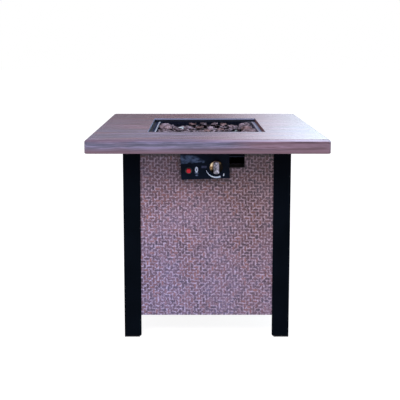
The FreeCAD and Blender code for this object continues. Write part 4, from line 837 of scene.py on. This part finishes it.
def printed(name, ink, rings=(), fills=()):
    """A film of ink on the box's face. A ring lies between two edges, and a fill inside one."""
    film = bmesh.new()

    def corner(point):
        return film.verts.new((point[0] * MM, (BOX_FACE - INK) * MM, point[1] * MM))

    for edge, hole, is_closed in rings:
        pairs = [(corner(a), corner(b)) for a, b in zip(edge, hole)]
        for (a, b), (c, d) in zip(pairs, pairs[1:] + pairs[:1] * is_closed):
            film.faces.new((a, c, d, b))
    for edge in fills:
        film.faces.new([corner(point) for point in edge])
    for face in film.faces:
        face.normal_update()
        if face.normal.y > 0:
            face.normal_flip()
    mesh = bpy.data.meshes.new(name)
    film.to_mesh(mesh)
    film.free()
    mesh.materials.append(ink)
    mark = placed(name, mesh)
    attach(mark, "table")


dress(gloss_black(), "control_box")
white_ink, grey_ink, blue_ink = [
    plain_finish(name, [every(2), 2.0], [(0.35, thin), (0.6, full)],
                 {"Roughness": 0.4, "Specular IOR Level": 0.2})
    for name, thin, full in (("white_screen_ink", "#c8e4ff", "#e8f6ff"),
                             ("thin_white_screen_ink", "#3c4c64", "#6c80a0"),
                             ("dull_blue_screen_ink", "#20283e", "#3c4666"))]
# the marks' places and sizes are in millimetres, to the right and up on the box's face
printed("mark_flame_in_ring", white_ink, rings=[
    (oval(-31.6, 531.2, 4.7, 9.2), oval(-31.6, 531.4, 1.4, 4.0, pull=0.6), True)])
printed("mark_below_ring", grey_ink, fills=[
    bar(-31.4, 521.2, 10.5, 3.2), bar(-30.6, 514.2, 7.0, 4.6)])
printed("mark_arc", white_ink, rings=[
    (*wedge((28.0, 540.2), 32.3, 199.0, 293.0, 1.2, 5.4), False)])
printed("mark_high", white_ink, fills=[bar(50.4, 515.4, 2.6, 7.6, lean=0.3)])
printed("mark_scale", blue_ink, fills=[bar(-9.1, 539.6, 16.0, 7.0)])


# ---- Knob ----
# A pressed skirt, dished inside a rolled rim and chrome plated, with a painted reflection that runs
# from straw to nearly black across it. The grip bar across it has a satin silver coating, rubbed darker
# by fingers.

RIM = 1.5             # width of the rolled rim
RIM_STEPS = 6
DISH = 2.5            # depth of the dish behind the rim
DISH_STEPS = 14
SKIRT_SIDES = 96
BROKEN_EDGE = (0.2, 0.3)      # how far the back's edge is broken, across and along
PAD_INSIDE = (0.2, 0.4)       # how far inside the grip's outline its pad ends, across and upwards
PAD_DEPTH = 3.2
PAD_BEHIND = 1.65     # from the rim to the pad's middle
SHARP_ANGLE = 40.0    # edges sharper than this stay sharp, in degrees
KNOB_REFLECTION_WAY = (20.0, 0.0, -27.0)      # how fast the painted reflection on the chrome gets darker, across the skirt
skirt_low, skirt_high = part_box("knob_disc")
skirt_middle = (skirt_low + skirt_high) / 2
skirt_r = (skirt_high.x - skirt_low.x) / 2


def chrome_with_painted_reflection():
    material, tree, place = new_material("tarnished_chrome_plate")
    wipe = add(tree, "TexNoise", [place, every(7), 4.0])
    from_middle = add(tree, "VectorMath", [place, skirt_middle], "SUBTRACT")
    across = add(tree, "VectorMath", [from_middle, KNOB_REFLECTION_WAY], "DOT_PRODUCT")
    reflection_share = add(tree, "Math", [wipe, across], "ADD")
    colour = shade(add(tree, "ValToRGB", [reflection_share]),
                   (0.0, "#d4c2a2"), (0.15, "#9c7e60"), (0.3, "#504430"), (0.56, "#14110f"))
    rough = add(tree, "MapRange", [wipe, 0.0, 1.0, 0.08, 0.24])
    return surfaced(material, {"Base Color": colour, "Metallic": 1.0, "Roughness": rough})


# the skirt's outline, as radius and place along Y, from the middle of its back to that of its dish
profile = [(0.0, skirt_high.y), (skirt_r - BROKEN_EDGE[0] * MM, skirt_high.y),
           (skirt_r, skirt_high.y - BROKEN_EDGE[1] * MM)]
for i in range(RIM_STEPS + 1):
    turn = math.pi * i / RIM_STEPS
    profile.append((skirt_r - RIM / 2 * MM * (1 - math.cos(turn)),
                    skirt_low.y + RIM / 2 * MM * (1 - math.sin(turn))))
dish_r = skirt_r - RIM * MM
for i in range(1, DISH_STEPS + 1):
    share = 1 - i / DISH_STEPS
    profile.append((dish_r * share,
                    skirt_low.y + RIM / 2 * MM + (DISH - RIM / 2) * MM * (1 - share ** 2)))

lathe = bmesh.new()
turns = [math.tau * side / SKIRT_SIDES for side in range(SKIRT_SIDES)]
rings = [[lathe.verts.new((skirt_middle.x + r * math.cos(turn), y, skirt_middle.z + r * math.sin(turn)))
          for turn in turns] for r, y in profile]
for inner, outer in zip(rings, rings[1:]):
    for k in range(SKIRT_SIDES):
        lathe.faces.new((inner[k - 1], inner[k], outer[k], outer[k - 1]))
bmesh.ops.remove_doubles(lathe, verts=lathe.verts, dist=WELD * MM)
bmesh.ops.recalc_face_normals(lathe, faces=lathe.faces)

# the pad that the grip stands on, inside the dish
grip_low, grip_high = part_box("knob_grip")
pad_half = ((grip_high.x - grip_low.x) / 2 - PAD_INSIDE[0] * MM, PAD_DEPTH / 2 * MM,
            (grip_high.z - grip_low.z) / 2 - PAD_INSIDE[1] * MM)
pad_middle = (skirt_middle.x, skirt_low.y + PAD_BEHIND * MM, skirt_middle.z)
bmesh.ops.create_cube(lathe, size=2.0,
                      matrix=Matrix.Translation(pad_middle) @ Matrix.Diagonal((*pad_half, 1.0)))
skirt_mesh = bpy.data.meshes.new("dished_knob_skirt")
lathe.to_mesh(skirt_mesh)
lathe.free()
skirt_mesh.materials.append(chrome_with_painted_reflection())
skirt_mesh.shade_smooth()
skirt_mesh.set_sharp_from_angle(angle=math.radians(SHARP_ANGLE))
skirt = placed("dished_knob_skirt", skirt_mesh)
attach(skirt, "control_knob")
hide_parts("knob_disc")
silver = plain_finish(
    "satin_silver_coating", [every(7), 5.0, 0.7],
    [(0.4, "#4c4e56"), (0.6, "#d8d8e6")], {"Metallic": 0.2, "Roughness": (0.35, 0.55)})
dress(silver, "knob_grip")


# ---- Igniter ----
# A red push-button cap of glossy ABS on a nylon barrel that holds a small battery in a plain jacket.

red_abs = plain_finish("red_abs", [every(4), 3.0], [(0.35, "#cc0420"), (0.7, "#ee1434")],
                       {"Roughness": 0.25, "IOR": 1.52, "Specular IOR Level": 0.25})
dress(red_abs, "igniter_button")
jacket = plain_finish("battery_jacket", [every(6), 3.0], [(0.3, "#4c4d54"), (0.7, "#63646d")],
                      {"Roughness": 0.3})
dress(jacket, "igniter_battery")


# ---- Camera ----
# Seen from the front at standing height, looking a little down, with the lens axis above the middle.

IMAGE_SIDE = 400                 # pixels of the square picture
FOCAL_PIXELS = 655.8
AXIS_X, AXIS_Y = 194.87, 113.16  # where the lens axis meets the picture, in pixels
EYE = (-36.6, -2215.0, 910.4)    # where the lens is, in millimetres
PITCH = 6.087                    # degrees down
SENSOR = 36.0                    # its width, in millimetres

camera_data = bpy.data.cameras.new("camera")
camera_data.sensor_width = SENSOR
camera_data.lens = FOCAL_PIXELS / IMAGE_SIDE * SENSOR
camera_data.shift_x = (IMAGE_SIDE / 2 - AXIS_X) / IMAGE_SIDE
camera_data.shift_y = (AXIS_Y - IMAGE_SIDE / 2) / IMAGE_SIDE
camera = placed("camera", camera_data)
camera.location = Vector(EYE) * MM
camera.rotation_euler = (math.radians(90 - PITCH), 0.0, 0.0)
bpy.context.scene.camera = camera


# ---- Floor and light ----
# A pale studio floor, a broad soft lamp above the viewer and a bright wall at the back right,
# whose grazing reflection lies on the mantel.

FLOOR_SIDE = 40.0                     # in metres, as the lamp's values are
WALL_WAY = Vector((0.9, 0.42, 0.0))   # from the table towards the middle of the bright wall
WALL_SIDES = (0.404, 0.64)            # it comes up between these cosines off that way
WALL_FOOT = (0.09, 0.17)              # and between these sines above level
WALL_TOP = (0.22, 0.42)               # and gives way to the room overhead between these
WALL_GLOW, ROOM_GLOW, OVERHEAD_GLOW = 3.35, 0.42, 0.6
LAMP_PLACE, LAMP_AIM = Vector((-0.7, -2.5, 3.3)), Vector((0.0, 0.0, 0.4))
LAMP_SIDE = 1.8
LAMP_WATTS = 120.0


def studio_floor():
    material, tree, _ = new_material("studio_floor")
    ray = add(tree, "LightPath")
    direct = add(tree, "Math", [ray.outputs["Is Camera Ray"], ray.outputs["Is Transmission Ray"]],
                 "MAXIMUM")
    seen = add(tree, "Math", [direct, ray.outputs["Is Glossy Ray"]], "MAXIMUM")
    paper = add(tree, "BsdfDiffuse", {"Color": hexed("#c6c6ce")})
    glow = add(tree, "Emission", {"Color": (1.0, 1.0, 1.0, 1.0), "Strength": 0.9})
    lit = add(tree, "AddShader", [glow, add(tree, "BsdfDiffuse", {"Color": (0.35, 0.35, 0.35, 1.0)})])
    either = add(tree, "MixShader", [seen, paper, lit])
    add(tree, "OutputMaterial", [either])
    return material


bpy.ops.mesh.primitive_plane_add(size=FLOOR_SIDE)
floor = bpy.context.object
floor.name = "studio_floor"
floor.data.materials.append(studio_floor())

world = bpy.data.worlds.new("studio")
bpy.context.scene.world = world
world.use_nodes = True
sky = world.node_tree
sky.nodes.clear()

# seen straight or mirrored near the horizon, the backdrop is white
ray = add(sky, "LightPath")
direct = add(sky, "Math", [ray.outputs["Is Camera Ray"], ray.outputs["Is Transmission Ray"]], "MAXIMUM")
towards = add(sky, "TexCoord").outputs["Generated"]
_, _, up = add(sky, "SeparateXYZ", [towards]).outputs
is_backdrop = add(sky, "Math", [up, 0.05], "LESS_THAN")
mirrored = add(sky, "Math", [ray.outputs["Is Glossy Ray"], is_backdrop], "MULTIPLY")
seen = add(sky, "Math", [direct, mirrored], "MAXIMUM")
backdrop = add(sky, "Background", {"Color": (1.0, 1.0, 1.0, 1.0), "Strength": 1.0})

# what lights the table: the bright wall and, above and beside it, the dimmer room
wall_side = add(sky, "VectorMath", [towards, WALL_WAY.normalized()], "DOT_PRODUCT")
wall = add(sky, "MapRange", [wall_side, *WALL_SIDES, 0.0, 1.0], interpolation_type="SMOOTHSTEP")
is_low = add(sky, "MapRange", [up, *WALL_TOP, 1.0, 0.0], interpolation_type="SMOOTHSTEP")
band = add(sky, "MapRange", [wall, 0.0, 1.0, ROOM_GLOW, WALL_GLOW])
upward = add(sky, "MapRange", [up, *WALL_FOOT, 0.3, 1.4])
risen = add(sky, "Math", [band, upward], "MULTIPLY")
glow = add(sky, "Mix", [is_low, OVERHEAD_GLOW, risen])
tinge = add(sky, "Mix", [wall, hexed("#ecdcee"), hexed("#daf1ff")], data_type="RGBA")
around = add(sky, "Background", {"Color": tinge, "Strength": glow})
either = add(sky, "MixShader", [seen, around, backdrop])
add(sky, "OutputWorld", [either])

lamp_data = bpy.data.lights.new("front_lamp", "AREA")
lamp_data.size = LAMP_SIDE
lamp_data.energy = LAMP_WATTS
lamp_data.color = hexed("#fff6f2")[:3]
lamp = placed("front_lamp", lamp_data)
lamp.location = LAMP_PLACE
lamp.rotation_euler = (LAMP_AIM - LAMP_PLACE).to_track_quat("-Z", "Y").to_euler()
lamp.visible_glossy = False

bpy.context.scene.view_settings.view_transform = "Standard"
